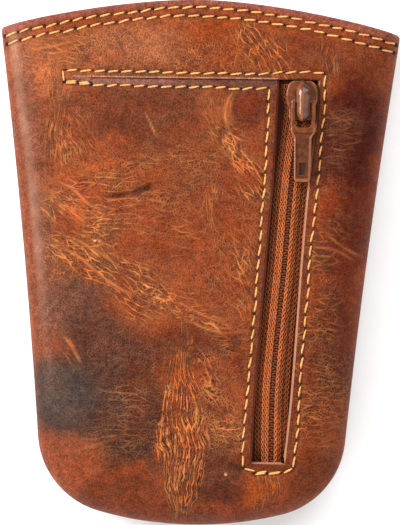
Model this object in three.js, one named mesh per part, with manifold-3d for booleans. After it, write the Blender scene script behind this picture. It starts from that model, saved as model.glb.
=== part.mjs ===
// A leather key case with a zip pocket, lying on its back.
// Millimetres. +X runs across the case, +Y towards its open mouth and +Z up.
// The origin is under the middle of the case, on the surface that it rests on.
import * as THREE from "three";
import { mergeVertices } from "three/addons/utils/BufferGeometryUtils.js";
import Module from "manifold-3d";

const wasm = await Module();
wasm.setup();

// ---------- driving sizes ----------

const caseLength = 125;
const wall = 1.8; // leather thickness
const clearance = 0.3; // kept between pieces that touch

const seamHeight = 7.5; // the side seam above the resting surface
const crownHeight = 17; // outside of the front panel where it lies level
const mouthHeight = 15.2; // the same at the mouth, which is pressed flatter
const mouthSlopeStart = 47; // the front panel starts to fall towards the mouth here
const frontRoll = 12; // width over which the front panel rolls down to the seam
const backRoll = 9; // width over which the back panel rolls up to the seam

const hemDepth = 7; // leather turned in at the mouth and sewn down
const hemFold = 0.9; // thickness of that second, pared layer

// Seen from above: sides that flare to the mouth, round bottom corners and a bowed bottom.
const bottomY = -caseLength / 2;
const mouthY = caseLength / 2;
const waist = { y: -36, half: 37.2, flare: 7.75, swell: 2.3, length: 88 };
const corner = { startY: -42, radius: 20 };
const mouthBow = { drop: 6.45, at: 42, power: 1.7 };

// Dents and folds of the front panel. The long axis lies turn degrees from +X.
const frontRelief = [
  { name: "belly", x: -8, y: -8, along: 36, across: 24, turn: 90, lift: 0.8 },
  { name: "coin print", x: 10.5, y: 36, along: 5.6, across: 5.6, turn: 0, lift: 0.5 },
  { name: "faint coin print", x: 7.5, y: 14, along: 5.4, across: 5.4, turn: 0, lift: 0.3 },
  { name: "side fold", x: -34, y: 27, along: 22, across: 4, turn: 86, lift: -0.5 },
  { name: "low crease", x: -4, y: -38, along: 18, across: 6, turn: 92, lift: -0.5 },
  { name: "stained hollow", x: -26, y: -33, along: 12, across: 9, turn: 15, lift: -0.4 },
];

// The pocket's cut: a closed slit that turns down into the window of the zip.
const slit = { startX: -26, startY: 43.4, cornerY: 43.9, width: 0.3 };
const windowTop = 43.9;
const windowBottom = -47.4;
const windowStations = [
  { y: windowTop, left: 18.6, right: 28.5 },
  { y: 36, left: 18.4, right: 28.3 },
  { y: 18, left: 17.7, right: 26.6 },
  { y: 2, left: 16.6, right: 25.5 },
  { y: -30, left: 14.7, right: 23.8 },
  { y: windowBottom, left: 14.0, right: 22.3 },
];

// Middle of the zip's chain.
const zipStations = [
  { y: -52, x: 18.95 },
  { y: -45, x: 18.95 },
  { y: -37, x: 18.85 },
  { y: -28, x: 19.0 },
  { y: -14, x: 19.95 },
  { y: 0, x: 21.1 },
  { y: 10, x: 21.7 },
  { y: 20, x: 22.4 },
  { y: 28, x: 23.25 },
  { y: 34, x: 24.0 },
  { y: 38, x: 24.3 },
  { y: 42, x: 24.35 },
  { y: 50, x: 24.4 },
];
const tape = { thickness: 0.5, halfWidth: 10, top: 48, bottom: -51.5 };
const coil = { width: 1.8, height: 1.3, top: 43.5, bottom: -49.5 };
const chainSplit = { start: 36.5, end: 41.2, gap: 1.1 }; // the halves part inside the slider
const chainDip = { start: -41.5, end: -46.8 }; // the chain sinks under the end of the window

const slider = {
  x: 24.35,
  y: 39,
  nose: 4.6,
  rear: -4.7,
  noseHalf: 3.7,
  rearHalf: 3,
  plate: 0.8,
  flange: 0.5,
  postHalf: 0.75,
};
const bridge = { offset: 0.25, half: 1.55, height: 2.5, thickness: 0.75, rearFoot: 1.4, noseFoot: 1.9 };
const tab = {
  x: 24.75,
  y: 38.7,
  thickness: 1.3,
  ringHalf: 2.9,
  ringHoleHalf: 1.9,
  ringHoleLength: 5.7,
  barRadius: 0.5,
  shankHalf: 2.1,
  endHalf: 1.95,
  length: 19.1,
};

// ---------- finishes ----------

const leather = new THREE.MeshStandardMaterial({ color: 0x9a5026, roughness: 0.5, metalness: 0 });
const innerLeather = new THREE.MeshStandardMaterial({ color: 0x8c4823, roughness: 0.6, metalness: 0 });
const webbing = new THREE.MeshStandardMaterial({ color: 0x4a1d10, roughness: 0.85, metalness: 0 });
const nylon = new THREE.MeshStandardMaterial({ color: 0x9c4a22, roughness: 0.5, metalness: 0 });
const lacquer = new THREE.MeshStandardMaterial({ color: 0x74442c, roughness: 0.25, metalness: 0.3 });

// ---------- small helpers ----------

const smooth = (t) => {
  const s = Math.min(Math.max(t, 0), 1);
  return s * s * (3 - 2 * s);
};

// A smooth function of y through a table's stations.
function stationCurve(stations, column) {
  const rising = [...stations].sort((a, b) => a.y - b.y);
  const points = rising.map((s) => new THREE.Vector2(s[column], s.y));
  const line = new THREE.SplineCurve(points).getPoints(200);
  return (y) => {
    let k = 1;
    while (k < line.length - 1 && line[k].y < y) k++;
    const t = (y - line[k - 1].y) / (line[k].y - line[k - 1].y);
    return line[k - 1].x + t * (line[k].x - line[k - 1].x);
  };
}

const windowLeft = stationCurve(windowStations, "left");
const windowRight = stationCurve(windowStations, "right");
const zipMiddle = stationCurve(zipStations, "x");

// The point that lies a fraction of the way along a line of points.
function along(line, fraction) {
  const lengths = [0];
  for (let k = 1; k < line.length; k++) {
    lengths.push(lengths[k - 1] + line[k].distanceTo(line[k - 1]));
  }
  const target = fraction * lengths.at(-1);
  let k = 1;
  while (k < line.length - 1 && lengths[k] < target) k++;
  const t = (target - lengths[k - 1]) / (lengths[k] - lengths[k - 1]);
  return line[k - 1].clone().lerp(line[k], t);
}

// A closed solid between two matching grids of points, indexed [row][column].
function slab(first, second) {
  const rows = first.length;
  const columns = first[0].length;
  const positions = [...first.flat(), ...second.flat()].flatMap((p) => [p.x, p.y, p.z]);
  const index = [];
  const at = (layer, r, c) => layer * rows * columns + r * columns + c;
  const quad = (a, b, c, d) => index.push(a, b, c, a, c, d);
  for (let r = 0; r < rows - 1; r++) {
    for (let c = 0; c < columns - 1; c++) {
      quad(at(0, r, c), at(0, r, c + 1), at(0, r + 1, c + 1), at(0, r + 1, c));
      quad(at(1, r, c), at(1, r + 1, c), at(1, r + 1, c + 1), at(1, r, c + 1));
    }
  }
  for (let c = 0; c < columns - 1; c++) {
    quad(at(0, 0, c), at(1, 0, c), at(1, 0, c + 1), at(0, 0, c + 1));
    quad(at(0, rows - 1, c), at(0, rows - 1, c + 1), at(1, rows - 1, c + 1), at(1, rows - 1, c));
  }
  for (let r = 0; r < rows - 1; r++) {
    quad(at(0, r, 0), at(0, r + 1, 0), at(1, r + 1, 0), at(1, r, 0));
    quad(at(0, r, columns - 1), at(1, r, columns - 1), at(1, r + 1, columns - 1), at(0, r + 1, columns - 1));
  }
  const middle = [Math.floor(rows / 2), Math.floor(columns / 2)];
  if (first[middle[0]][middle[1]].z < second[middle[0]][middle[1]].z) index.reverse();
  const geometry = new THREE.BufferGeometry();
  geometry.setAttribute("position", new THREE.Float32BufferAttribute(positions, 3));
  geometry.setIndex(index);
  return geometry;
}

function solidOf(geometry) {
  const bare = geometry.clone();
  for (const name of ["normal", "uv"]) bare.deleteAttribute(name);
  const merged = mergeVertices(bare, 1e-4);
  return new wasm.Manifold(
    new wasm.Mesh({
      numProp: 3,
      vertProperties: Float32Array.from(merged.attributes.position.array),
      triVerts: Uint32Array.from(merged.index.array),
    }),
  );
}

function geometryOf(solid) {
  const mesh = solid.getMesh();
  const geometry = new THREE.BufferGeometry();
  geometry.setAttribute("position", new THREE.BufferAttribute(mesh.vertProperties, 3));
  geometry.setIndex(new THREE.BufferAttribute(mesh.triVerts, 1));
  return geometry;
}

// An outline in the XY plane, made solid from height low to height high.
function prism(outline, low, high) {
  const shape = outline instanceof THREE.Shape ? outline : new THREE.Shape(outline);
  const geometry = new THREE.ExtrudeGeometry(shape, {
    depth: high - low,
    bevelEnabled: false,
    curveSegments: 8,
  });
  geometry.translate(0, 0, low);
  return geometry;
}

// ---------- outline of the case ----------

function sideHalfWidth(y) {
  const t = (y - waist.y) / waist.length;
  return waist.half + waist.flare * t + waist.swell * t * t;
}

const mouthLine = (x) => mouthY - mouthBow.drop * (Math.abs(x) / mouthBow.at) ** mouthBow.power;

// The right half of the outline, from above the mouth, down and round to the middle of the bottom.
// The bottom's radius follows from its depth and from its meeting the corner without a kink.
const sideTopY = mouthY + 6;
const sideLine = [];
for (let k = 0; k <= 60; k++) {
  const y = THREE.MathUtils.lerp(sideTopY, corner.startY, k / 60);
  sideLine.push(new THREE.Vector2(sideHalfWidth(y), y));
}
const startTurn = (waist.flare + (2 * waist.swell * (corner.startY - waist.y)) / waist.length) / waist.length;
const startAngle = -Math.atan(startTurn);
const cornerCentre = new THREE.Vector2(
  sideHalfWidth(corner.startY) - corner.radius * Math.cos(startAngle),
  corner.startY - corner.radius * Math.sin(startAngle),
);
const cornerDepth = cornerCentre.y - bottomY;
const bottomRadius =
  (cornerCentre.x ** 2 + cornerDepth ** 2 - corner.radius ** 2) / (2 * (cornerDepth - corner.radius));
const bottomCentreY = bottomY + bottomRadius;
const endAngle = Math.atan2(cornerCentre.y - bottomCentreY, cornerCentre.x);
const midAngle = (startAngle + endAngle) / 2;

function arcLine(centreX, centreY, radius, from, to, steps) {
  const line = [];
  for (let k = 0; k <= steps; k++) {
    const angle = THREE.MathUtils.lerp(from, to, k / steps);
    line.push(new THREE.Vector2(centreX + radius * Math.cos(angle), centreY + radius * Math.sin(angle)));
  }
  return line;
}

const upperCorner = arcLine(cornerCentre.x, cornerCentre.y, corner.radius, startAngle, midAngle, 16);
const lowerCorner = arcLine(cornerCentre.x, cornerCentre.y, corner.radius, midAngle, endAngle, 16);
const bottomArc = arcLine(0, bottomCentreY, bottomRadius, endAngle, -Math.PI / 2, 16);
const halfOutline = [...sideLine, ...upperCorner, ...lowerCorner, ...bottomArc];

// How far a point is inside the outline, and the way out to it.
function inset(x, y) {
  const point = new THREE.Vector2(Math.abs(x), y);
  let best = null;
  for (let k = 1; k < halfOutline.length; k++) {
    const a = halfOutline[k - 1];
    const edge = halfOutline[k].clone().sub(a);
    const reach = edge.lengthSq();
    if (reach === 0) continue;
    const t = THREE.MathUtils.clamp(point.clone().sub(a).dot(edge) / reach, 0, 1);
    const foot = a.clone().addScaledVector(edge, t);
    const depth = foot.distanceTo(point);
    if (!best || depth < best.depth) {
      best = { depth, out: new THREE.Vector2(-edge.y, edge.x).normalize() };
    }
  }
  if (x < 0) best.out.x *= -1;
  return best;
}

// Four sides of a panel's grid: bottom, mouth, left and right, each in unit steps.
const mirrored = (line) => line.map((p) => new THREE.Vector2(-p.x, p.y));
let mouthCornerY = mouthY;
for (let k = 0; k < 8; k++) mouthCornerY = mouthLine(sideHalfWidth(mouthCornerY));
const cornerOfMouth = new THREE.Vector2(sideHalfWidth(mouthCornerY), mouthCornerY);
const rightSide = [
  ...[...upperCorner].reverse(),
  ...sideLine.filter((p) => p.y < mouthCornerY).reverse(),
  cornerOfMouth,
];
const bottomSide = [
  ...mirrored([...lowerCorner, ...bottomArc]),
  ...[...lowerCorner, ...bottomArc].reverse(),
];

// A point of the panel, u from left to right and v from the bottom to the mouth.
function plan(u, v) {
  const low = along(bottomSide, u);
  const highX = THREE.MathUtils.lerp(-cornerOfMouth.x, cornerOfMouth.x, u);
  const high = new THREE.Vector2(highX, mouthLine(highX));
  const right = along(rightSide, v);
  const left = new THREE.Vector2(-right.x, right.y);
  const lowCorner = along(rightSide, 0);
  const blend = (name, side) =>
    (1 - v) * low[name] +
    v * high[name] +
    (1 - u) * left[name] +
    u * right[name] -
    (1 - v) * lowCorner[name] * ((1 - u) * side + u) -
    v * cornerOfMouth[name] * ((1 - u) * side + u);
  return new THREE.Vector2(blend("x", -1), blend("y", 1));
}

// ---------- leather panels ----------

function reliefAt(x, y) {
  let lift = 0;
  for (const fold of frontRelief) {
    const turn = THREE.MathUtils.degToRad(fold.turn);
    const dx = x - fold.x;
    const dy = y - fold.y;
    const a = (dx * Math.cos(turn) + dy * Math.sin(turn)) / fold.along;
    const b = (dy * Math.cos(turn) - dx * Math.sin(turn)) / fold.across;
    const r2 = a * a + b * b;
    if (r2 < 1) lift += fold.lift * (1 - r2) ** 2;
  }
  return lift;
}

const front = {
  roll: frontRoll,
  base: seamHeight + clearance / 2,
  level: (x, y) =>
    crownHeight -
    (crownHeight - mouthHeight) * smooth((y - mouthSlopeStart) / (mouthY - mouthSlopeStart)) +
    reliefAt(x, y),
};
const back = {
  roll: backRoll,
  base: seamHeight - clearance / 2,
  level: () => 0,
};

// A point of a panel's outside and the direction that its leather faces.
// From the seam, the panel rolls through a quarter of an ellipse to its level part.
function skin(panel, x, y) {
  const { depth, out } = inset(x, y);
  const rise = panel.level(x, y) - panel.base;
  const q = Math.max(1 - depth / panel.roll, 0);
  const height = Math.sqrt(Math.max(1 - q * q, 0));
  const facing = new THREE.Vector3(
    (out.x * q) / panel.roll,
    (out.y * q) / panel.roll,
    height / rise,
  ).normalize();
  return { point: new THREE.Vector3(x, y, panel.base + rise * height), facing };
}

// Fractions across a panel's grid: close together where it rolls, even where it is level.
// The far end rolls as well, unless it stays level for a hem.
function gridSteps(span, roll, levelSteps, hem = 0) {
  const rollSteps = 5;
  const rolling = [];
  for (let k = 0; k < rollSteps; k++) {
    rolling.push((roll * (1 - Math.cos((k / rollSteps) * (Math.PI / 2)))) / span);
  }
  const from = roll / span;
  const to = 1 - (hem || roll) / span;
  const level = [];
  for (let k = 0; k <= levelSteps; k++) level.push(THREE.MathUtils.lerp(from, to, k / levelSteps));
  const rollingBack = hem ? [] : rolling.map((step) => 1 - step).reverse();
  return [...rolling, ...level, ...rollingBack];
}

function panelSolid(panel, columnSteps, rowSteps) {
  const us = gridSteps(2 * waist.half, panel.roll, columnSteps);
  const hemRows = [hemDepth - hemFold, hemDepth / 2, 0].map((d) => 1 - d / caseLength);
  const vs = [...gridSteps(caseLength, panel.roll, rowSteps, hemDepth), ...hemRows];
  const outside = [];
  const inside = [];
  for (const [r, v] of vs.entries()) {
    const inHem = r >= vs.length - hemRows.length;
    const thickness = wall + (inHem ? hemFold : 0);
    const outer = [];
    const inner = [];
    for (const u of us) {
      const { x, y } = plan(u, v);
      const { point, facing } = skin(panel, x, y);
      outer.push(point);
      inner.push(point.clone().addScaledVector(facing, -thickness));
    }
    outside.push(outer);
    inside.push(inner);
  }
  return slab(outside, inside);
}

// The slit and the window of the zip, as one L-shaped outline.
function pocketCut() {
  const steps = 24;
  const outline = [
    new THREE.Vector2(slit.startX, slit.startY - slit.width / 2),
    new THREE.Vector2(windowLeft(windowTop), slit.cornerY - slit.width),
  ];
  const levels = (k) => THREE.MathUtils.lerp(windowTop, windowBottom, k / steps);
  for (let k = 1; k <= steps; k++) outline.push(new THREE.Vector2(windowLeft(levels(k)), levels(k)));
  for (let k = steps; k >= 0; k--) outline.push(new THREE.Vector2(windowRight(levels(k)), levels(k)));
  outline.push(new THREE.Vector2(slit.startX, slit.startY + slit.width / 2));
  return prism(outline, seamHeight, crownHeight + 5);
}

const frontPanel = () => geometryOf(solidOf(panelSolid(front, 14, 22)).subtract(solidOf(pocketCut())));
const backPanel = () => panelSolid(back, 10, 16);

// ---------- zip ----------

// Height of the tapes' upper face, which lies just under the front panel.
function tapeLevel(x, y) {
  const { point, facing } = skin(front, x, y);
  const dip = (coil.height + clearance) * smooth((chainDip.start - y) / (chainDip.start - chainDip.end));
  return point.z - wall / facing.z - clearance - dip;
}

// Half of the space between the two halves of the chain.
const chainGap = (y) =>
  THREE.MathUtils.lerp(
    clearance / 2,
    chainSplit.gap,
    smooth((y - chainSplit.start) / (chainSplit.end - chainSplit.start)),
  );

// A strip that follows one side of the chain: section rows give its distance from the
// chain's gap, and its lower and upper height above the tapes.
function zipStrip(side, section, top, bottom, steps) {
  const upper = [];
  const lower = [];
  for (let k = 0; k <= steps; k++) {
    const y = THREE.MathUtils.lerp(bottom, top, k / steps);
    const place = (reach) => zipMiddle(y) + side * (chainGap(y) + reach);
    const point = (reach, height) => {
      const x = place(reach);
      return new THREE.Vector3(x, y, tapeLevel(x, y) + height);
    };
    const ordered = side > 0 ? section : [...section].reverse();
    upper.push(ordered.map((s) => point(s.reach, s.high)));
    lower.push(ordered.map((s) => point(s.reach, s.low)));
  }
  return slab(upper, lower);
}

function tapeStrip(side) {
  const reaches = [0, 3, 6.5, tape.halfWidth];
  const section = reaches.map((reach) => ({ reach, low: -tape.thickness, high: 0 }));
  return zipStrip(side, section, tape.top, tape.bottom, 40);
}

function coilStrip(side) {
  const section = [
    { reach: 0, low: clearance, high: 0.7 * coil.height + clearance },
    { reach: 0.25 * coil.width, low: clearance, high: coil.height + clearance },
    { reach: 0.7 * coil.width, low: clearance, high: coil.height + clearance },
    { reach: coil.width, low: clearance, high: 0.6 * coil.height + clearance },
  ];
  return zipStrip(side, section, coil.top, coil.bottom, 40);
}

// ---------- slider ----------

const zipLevel = crownHeight - wall - clearance; // upper face of the tapes along the window
const plateTop = zipLevel + clearance + coil.height + clearance + slider.plate;
const axisHeight = plateTop + clearance + tab.thickness / 2;

// Plan outline of the slider's plates: wide at the nose, where the open chain enters.
function sliderOutline(trim) {
  const nose = slider.nose - trim;
  const rear = slider.rear + trim;
  const wide = slider.noseHalf - trim;
  const slim = slider.rearHalf - trim;
  const shape = new THREE.Shape();
  shape.moveTo(slim, rear);
  shape.lineTo(slim, -1.9);
  shape.quadraticCurveTo(wide, -0.6, wide, 1);
  shape.quadraticCurveTo(wide, nose, 1.6, nose);
  shape.lineTo(-1.6, nose);
  shape.quadraticCurveTo(-wide, nose, -wide, 1);
  shape.quadraticCurveTo(-wide, -0.6, -slim, -1.9);
  shape.lineTo(-slim, rear);
  return shape;
}

// The bridge over the plate: a bar that arches from the nose to the rear.
function bridgeSolid() {
  const top = plateTop + bridge.height;
  const roof = top - bridge.thickness;
  const rear = slider.rear;
  const nose = slider.nose;
  const side = new THREE.Shape();
  side.moveTo(rear, plateTop - slider.plate / 2);
  side.lineTo(rear, roof - 0.3);
  side.quadraticCurveTo(rear + 0.1, top - 0.1, rear + 1.6, top);
  side.lineTo(nose - 3, top);
  side.quadraticCurveTo(nose - 0.8, top - 0.3, nose - 0.2, plateTop);
  side.lineTo(nose - 0.2, plateTop - slider.plate / 2);
  const tunnel = new THREE.Path();
  const tunnelRear = rear + bridge.rearFoot;
  const tunnelNose = nose - bridge.noseFoot;
  tunnel.moveTo(tunnelNose, plateTop);
  tunnel.quadraticCurveTo(tunnelNose, roof - 0.1, tunnelNose - 1, roof);
  tunnel.lineTo(tunnelRear + 0.4, roof);
  tunnel.quadraticCurveTo(tunnelRear, roof, tunnelRear, roof - 0.4);
  tunnel.lineTo(tunnelRear, plateTop);
  side.holes.push(tunnel);
  const geometry = new THREE.ExtrudeGeometry(side, {
    depth: 2 * bridge.half,
    bevelEnabled: false,
    curveSegments: 8,
  });
  // The profile is drawn in (y, z) and pushed along x.
  geometry.applyMatrix4(
    new THREE.Matrix4().set(0, 0, 1, bridge.offset - bridge.half, 1, 0, 0, 0, 0, 1, 0, 0, 0, 0, 0, 1),
  );
  return geometry;
}

function sliderGeometry() {
  const plateLow = plateTop - slider.plate;
  const floorTop = zipLevel - tape.thickness - clearance;
  const upper = solidOf(prism(sliderOutline(0), plateLow, plateTop));
  const rim = solidOf(prism(sliderOutline(0), zipLevel + clearance, plateTop));
  const channel = solidOf(prism(sliderOutline(slider.flange), zipLevel, plateLow));
  const open = (from, to) =>
    solidOf(
      prism(
        [
          new THREE.Vector2(-slider.noseHalf - 1, from),
          new THREE.Vector2(slider.noseHalf + 1, from),
          new THREE.Vector2(slider.noseHalf + 1, to),
          new THREE.Vector2(-slider.noseHalf - 1, to),
        ],
        zipLevel,
        plateLow,
      ),
    );
  const mouths = open(slider.rear - 1, slider.rear + 1).add(open(slider.nose - 1.9, slider.nose + 1));
  const floor = solidOf(prism(sliderOutline(0), floorTop - slider.plate, floorTop));
  const post = solidOf(
    prism(
      [
        new THREE.Vector2(0, slider.nose - 2.2),
        new THREE.Vector2(slider.postHalf, slider.nose - 1.1),
        new THREE.Vector2(slider.postHalf, slider.nose - 0.1),
        new THREE.Vector2(-slider.postHalf, slider.nose - 0.1),
        new THREE.Vector2(-slider.postHalf, slider.nose - 1.1),
      ],
      floorTop - slider.plate / 2,
      plateTop - slider.plate / 2,
    ),
  );
  const body = rim.subtract(channel).subtract(mouths).add(upper).add(floor).add(post);
  return geometryOf(body.add(solidOf(bridgeSolid())));
}

// ---------- pull tab ----------

// Drawn about its hinge: the tab points to -Y and its bar lies along X.
function tabOutline() {
  const ringEnd = -tab.barRadius - tab.ringHoleLength;
  const shape = new THREE.Shape();
  shape.moveTo(-tab.ringHalf, -0.2);
  shape.quadraticCurveTo(-tab.ringHalf, tab.barRadius, -tab.ringHalf + 0.7, tab.barRadius);
  shape.lineTo(tab.ringHalf - 0.7, tab.barRadius);
  shape.quadraticCurveTo(tab.ringHalf, tab.barRadius, tab.ringHalf, -0.2);
  shape.lineTo(tab.ringHalf, ringEnd - 0.9);
  shape.quadraticCurveTo(tab.shankHalf + 0.1, ringEnd - 1.7, tab.shankHalf, ringEnd - 2.6);
  shape.lineTo(tab.endHalf, 0.8 - tab.length);
  shape.quadraticCurveTo(tab.endHalf, -tab.length, tab.endHalf - 0.8, -tab.length);
  shape.lineTo(0.8 - tab.endHalf, -tab.length);
  shape.quadraticCurveTo(-tab.endHalf, -tab.length, -tab.endHalf, 0.8 - tab.length);
  shape.lineTo(-tab.shankHalf, ringEnd - 2.6);
  shape.quadraticCurveTo(-tab.shankHalf - 0.1, ringEnd - 1.7, -tab.ringHalf, ringEnd - 0.9);
  return shape;
}

function tabHole(half, from, to, round) {
  const hole = new THREE.Shape();
  hole.moveTo(-half, from);
  hole.lineTo(-half, to + round);
  hole.quadraticCurveTo(-half, to, -half + round, to);
  hole.lineTo(half - round, to);
  hole.quadraticCurveTo(half, to, half, to + round);
  hole.lineTo(half, from);
  return hole;
}

function tabGeometry() {
  const half = tab.thickness / 2;
  const ringEnd = -tab.barRadius - tab.ringHoleLength;
  const rim = 0.5;
  const blank = solidOf(prism(tabOutline(), -half, half));
  const ringHole = solidOf(prism(tabHole(tab.ringHoleHalf, 1, ringEnd, 1.2), -half - 1, half + 1));
  const bar = new THREE.CylinderGeometry(
    tab.barRadius,
    tab.barRadius,
    2 * tab.ringHoleHalf + 1,
    16,
  );
  bar.rotateZ(Math.PI / 2);
  const panelHalf = tab.endHalf - rim;
  const panel = solidOf(prism(tabHole(panelHalf, ringEnd - 1.2, 1 - tab.length, 0.3), half - 0.25, half + 1));
  const slot = solidOf(prism(tabHole(0.75, 4.6 - tab.length, 1.6 - tab.length, 0.2), half - 0.7, half + 1));
  return geometryOf(blank.subtract(ringHole).add(solidOf(bar)).subtract(panel).subtract(slot));
}

// ---------- assembly ----------

const group = new THREE.Group();

function addPiece(name, geometry, material, position = [0, 0, 0]) {
  const mesh = new THREE.Mesh(geometry, material);
  mesh.name = name;
  mesh.position.set(...position);
  group.add(mesh);
}

addPiece("front_panel", frontPanel(), leather);
addPiece("back_panel", backPanel(), innerLeather);
addPiece("zip_tape_left", tapeStrip(-1), webbing);
addPiece("zip_tape_right", tapeStrip(1), webbing);
addPiece("zip_coil_left", coilStrip(-1), nylon);
addPiece("zip_coil_right", coilStrip(1), nylon);
addPiece("zip_slider", sliderGeometry(), lacquer, [slider.x, slider.y, 0]);
addPiece("pull_tab", tabGeometry(), lacquer, [tab.x, tab.y, axisHeight]);

export default group;
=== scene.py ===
"""The looks of a leather key case with a zip pocket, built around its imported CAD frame.

Shapes are worked out in millimetres with the case lying on its back: +X across the case,
+Y towards its mouth and +Z up. They become metres when a mesh is made.
"""

from contextlib import contextmanager
from math import atan2, ceil, cos, pi, radians, sin

import bmesh
import bpy
import numpy as np
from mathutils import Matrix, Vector


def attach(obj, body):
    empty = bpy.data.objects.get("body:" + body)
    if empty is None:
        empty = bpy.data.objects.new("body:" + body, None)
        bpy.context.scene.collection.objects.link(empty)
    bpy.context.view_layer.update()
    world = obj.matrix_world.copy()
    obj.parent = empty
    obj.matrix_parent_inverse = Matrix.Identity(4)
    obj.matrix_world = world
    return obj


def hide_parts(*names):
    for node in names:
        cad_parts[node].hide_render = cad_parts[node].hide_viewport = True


MM = 0.001
CASE, TAB = "case", "tab"

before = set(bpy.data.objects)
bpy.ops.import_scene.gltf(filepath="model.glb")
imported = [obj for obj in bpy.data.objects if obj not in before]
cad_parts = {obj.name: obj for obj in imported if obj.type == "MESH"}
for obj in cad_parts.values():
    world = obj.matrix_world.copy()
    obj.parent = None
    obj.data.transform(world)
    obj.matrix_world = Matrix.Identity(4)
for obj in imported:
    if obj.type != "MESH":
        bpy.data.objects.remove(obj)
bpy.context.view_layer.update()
random = np.random.default_rng(11)

# ---------- driving sizes, which go with the CAD model's ----------

HALF_LENGTH, WALL = 62.5, 1.8
SEAM, CROWN = 7.5, 17.0
MOUTH_CROWN, MOUTH_SLOPE_START = 15.2, 47.0
FRONT_ROLL, BACK_ROLL = 12.0, 9.0
HEM_DEPTH, HEM_THICKNESS = 7.0, 2.7

WAIST_Y, WAIST_HALF, FLARE, SWELL, FLARE_LENGTH = -36.0, 37.2, 7.75, 2.3, 88.0
CORNER_START, CORNER_RADIUS = -42.0, 20.0
MOUTH_DROP, MOUTH_DROP_AT, MOUTH_POWER = 6.45, 42.0, 1.7

SLIT_START, SLIT_LENGTH, SLIT_START_Y, SLIT_END_Y = -26.0, 44.6, 43.4, 43.85
WINDOW_TOP, WINDOW_BOTTOM = 43.9, -47.4
BETWEEN_SIDES = 20.0  # x between the window's left and right sides
TAPE_TOP, TAPE_BOTTOM = 48.0, -51.5
TAPE_LEVEL = CROWN - WALL - 0.3
COIL_HEIGHT = 1.3

# Stations, each y and x, of the window's sides and the chain's middle
WINDOW_LEFT = ((-52, 13.7), (-47.4, 14.0), (-30, 14.7), (2, 16.6), (18, 17.7), (36, 18.4), (48, 18.7))
WINDOW_RIGHT = ((-52, 22.0), (-47.4, 22.3), (-30, 23.8), (2, 25.5), (18, 26.6), (36, 28.3), (48, 28.6))
ZIP_MIDDLE = (
    (-52, 18.95), (-45, 18.95), (-37, 18.85), (-28, 19.0), (-14, 19.95), (0, 21.1), (10, 21.7), (20, 22.4),
    (28, 23.25), (34, 24.0), (38, 24.3), (42, 24.35), (50, 24.4),
)

SLIDER_X, SLIDER_Y = 24.35, 39.0
PLATE_TOP = TAPE_LEVEL + 0.3 + COIL_HEIGHT + 0.3 + 0.8
TAB_X, TAB_Y, TAB_THICKNESS = 24.75, 38.7, 1.3
TAB_AXIS = PLATE_TOP + 0.3 + TAB_THICKNESS / 2

# Broad dents and folds of the front.
# name, x, y, half length, half width, turn of the long axis from +X in degrees, lift
FRONT_RELIEF = (
    ("belly", -8, -8, 36, 24, 90, 0.8),
    ("coin print", 10.5, 36, 5.6, 5.6, 0, 0.5),
    ("faint coin print", 7.5, 14, 5.4, 5.4, 0, 0.3),
    ("side fold", -34, 27, 22, 4, 86, -0.5),
    ("low crease", -4, -38, 18, 6, 92, -0.5),
    ("stained hollow", -26, -33, 12, 9, 15, -0.4),
)

# ---------- small helpers ----------


def smooth(t):
    s = np.clip(t, 0.0, 1.0)
    return s * s * (3 - 2 * s)


def blend(first, second, share):
    return first * (1 - share) + second * share


def unit(vectors):
    return vectors / np.linalg.norm(vectors, axis=-1, keepdims=True)


def lengths(line):
    """How far along a line each of its points is."""
    return np.concatenate([[0], np.cumsum(np.linalg.norm(np.diff(line, axis=0), axis=1))])


def even(line, count):
    """count points spaced evenly by length along a line of points."""
    line = np.asarray(line, float)
    length = lengths(line)
    at = np.linspace(0, length[-1], count)
    return np.stack([np.interp(at, length, values) for values in line.T], axis=1)


def spline(points, count):
    """A smooth line of count points through a few points, spaced evenly by length."""
    p = np.asarray(points, float)
    ends = np.vstack([2 * p[0] - p[1], p, 2 * p[-1] - p[-2]])
    t = np.linspace(0, 1, 25)[1:, None]
    line = [p[:1]]
    for a, b, c, d in zip(ends, ends[1:], ends[2:], ends[3:]):
        curve = 2 * b + (c - a) * t + (2 * a - 5 * b + 4 * c - d) * t**2 + (3 * b - a - 3 * c + d) * t**3
        line.append(0.5 * curve)
    return even(np.vstack(line), count)


def station_curve(stations):
    """x as a smooth function of y through (y, x) stations."""
    line = spline(stations, 400)
    return lambda y: np.interp(y, line[:, 0], line[:, 1])


window_left = station_curve(WINDOW_LEFT)
window_right = station_curve(WINDOW_RIGHT)
zip_middle = station_curve(ZIP_MIDDLE)


def round_off(distance, radius):
    """How far a rounded edge has dropped at a distance in from it."""
    d = np.clip(distance, 0, radius)
    return radius - np.sqrt(radius**2 - (radius - d) ** 2)


LIGHT_MATCH = 0.487  # how much darker a surface is than it looks under these lights
SHEEN = 0.011  # what the lights' reflection adds to every tone of the leather
WARMTH = (1.14, 0.87, 0.68)


def linear(colour):
    """Linear RGB of a colour given as it looks, 0 to 255."""
    c = np.asarray(colour, float) / 255
    return np.where(c <= 0.04045, c / 12.92, ((c + 0.055) / 1.055) ** 2.4)


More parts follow.
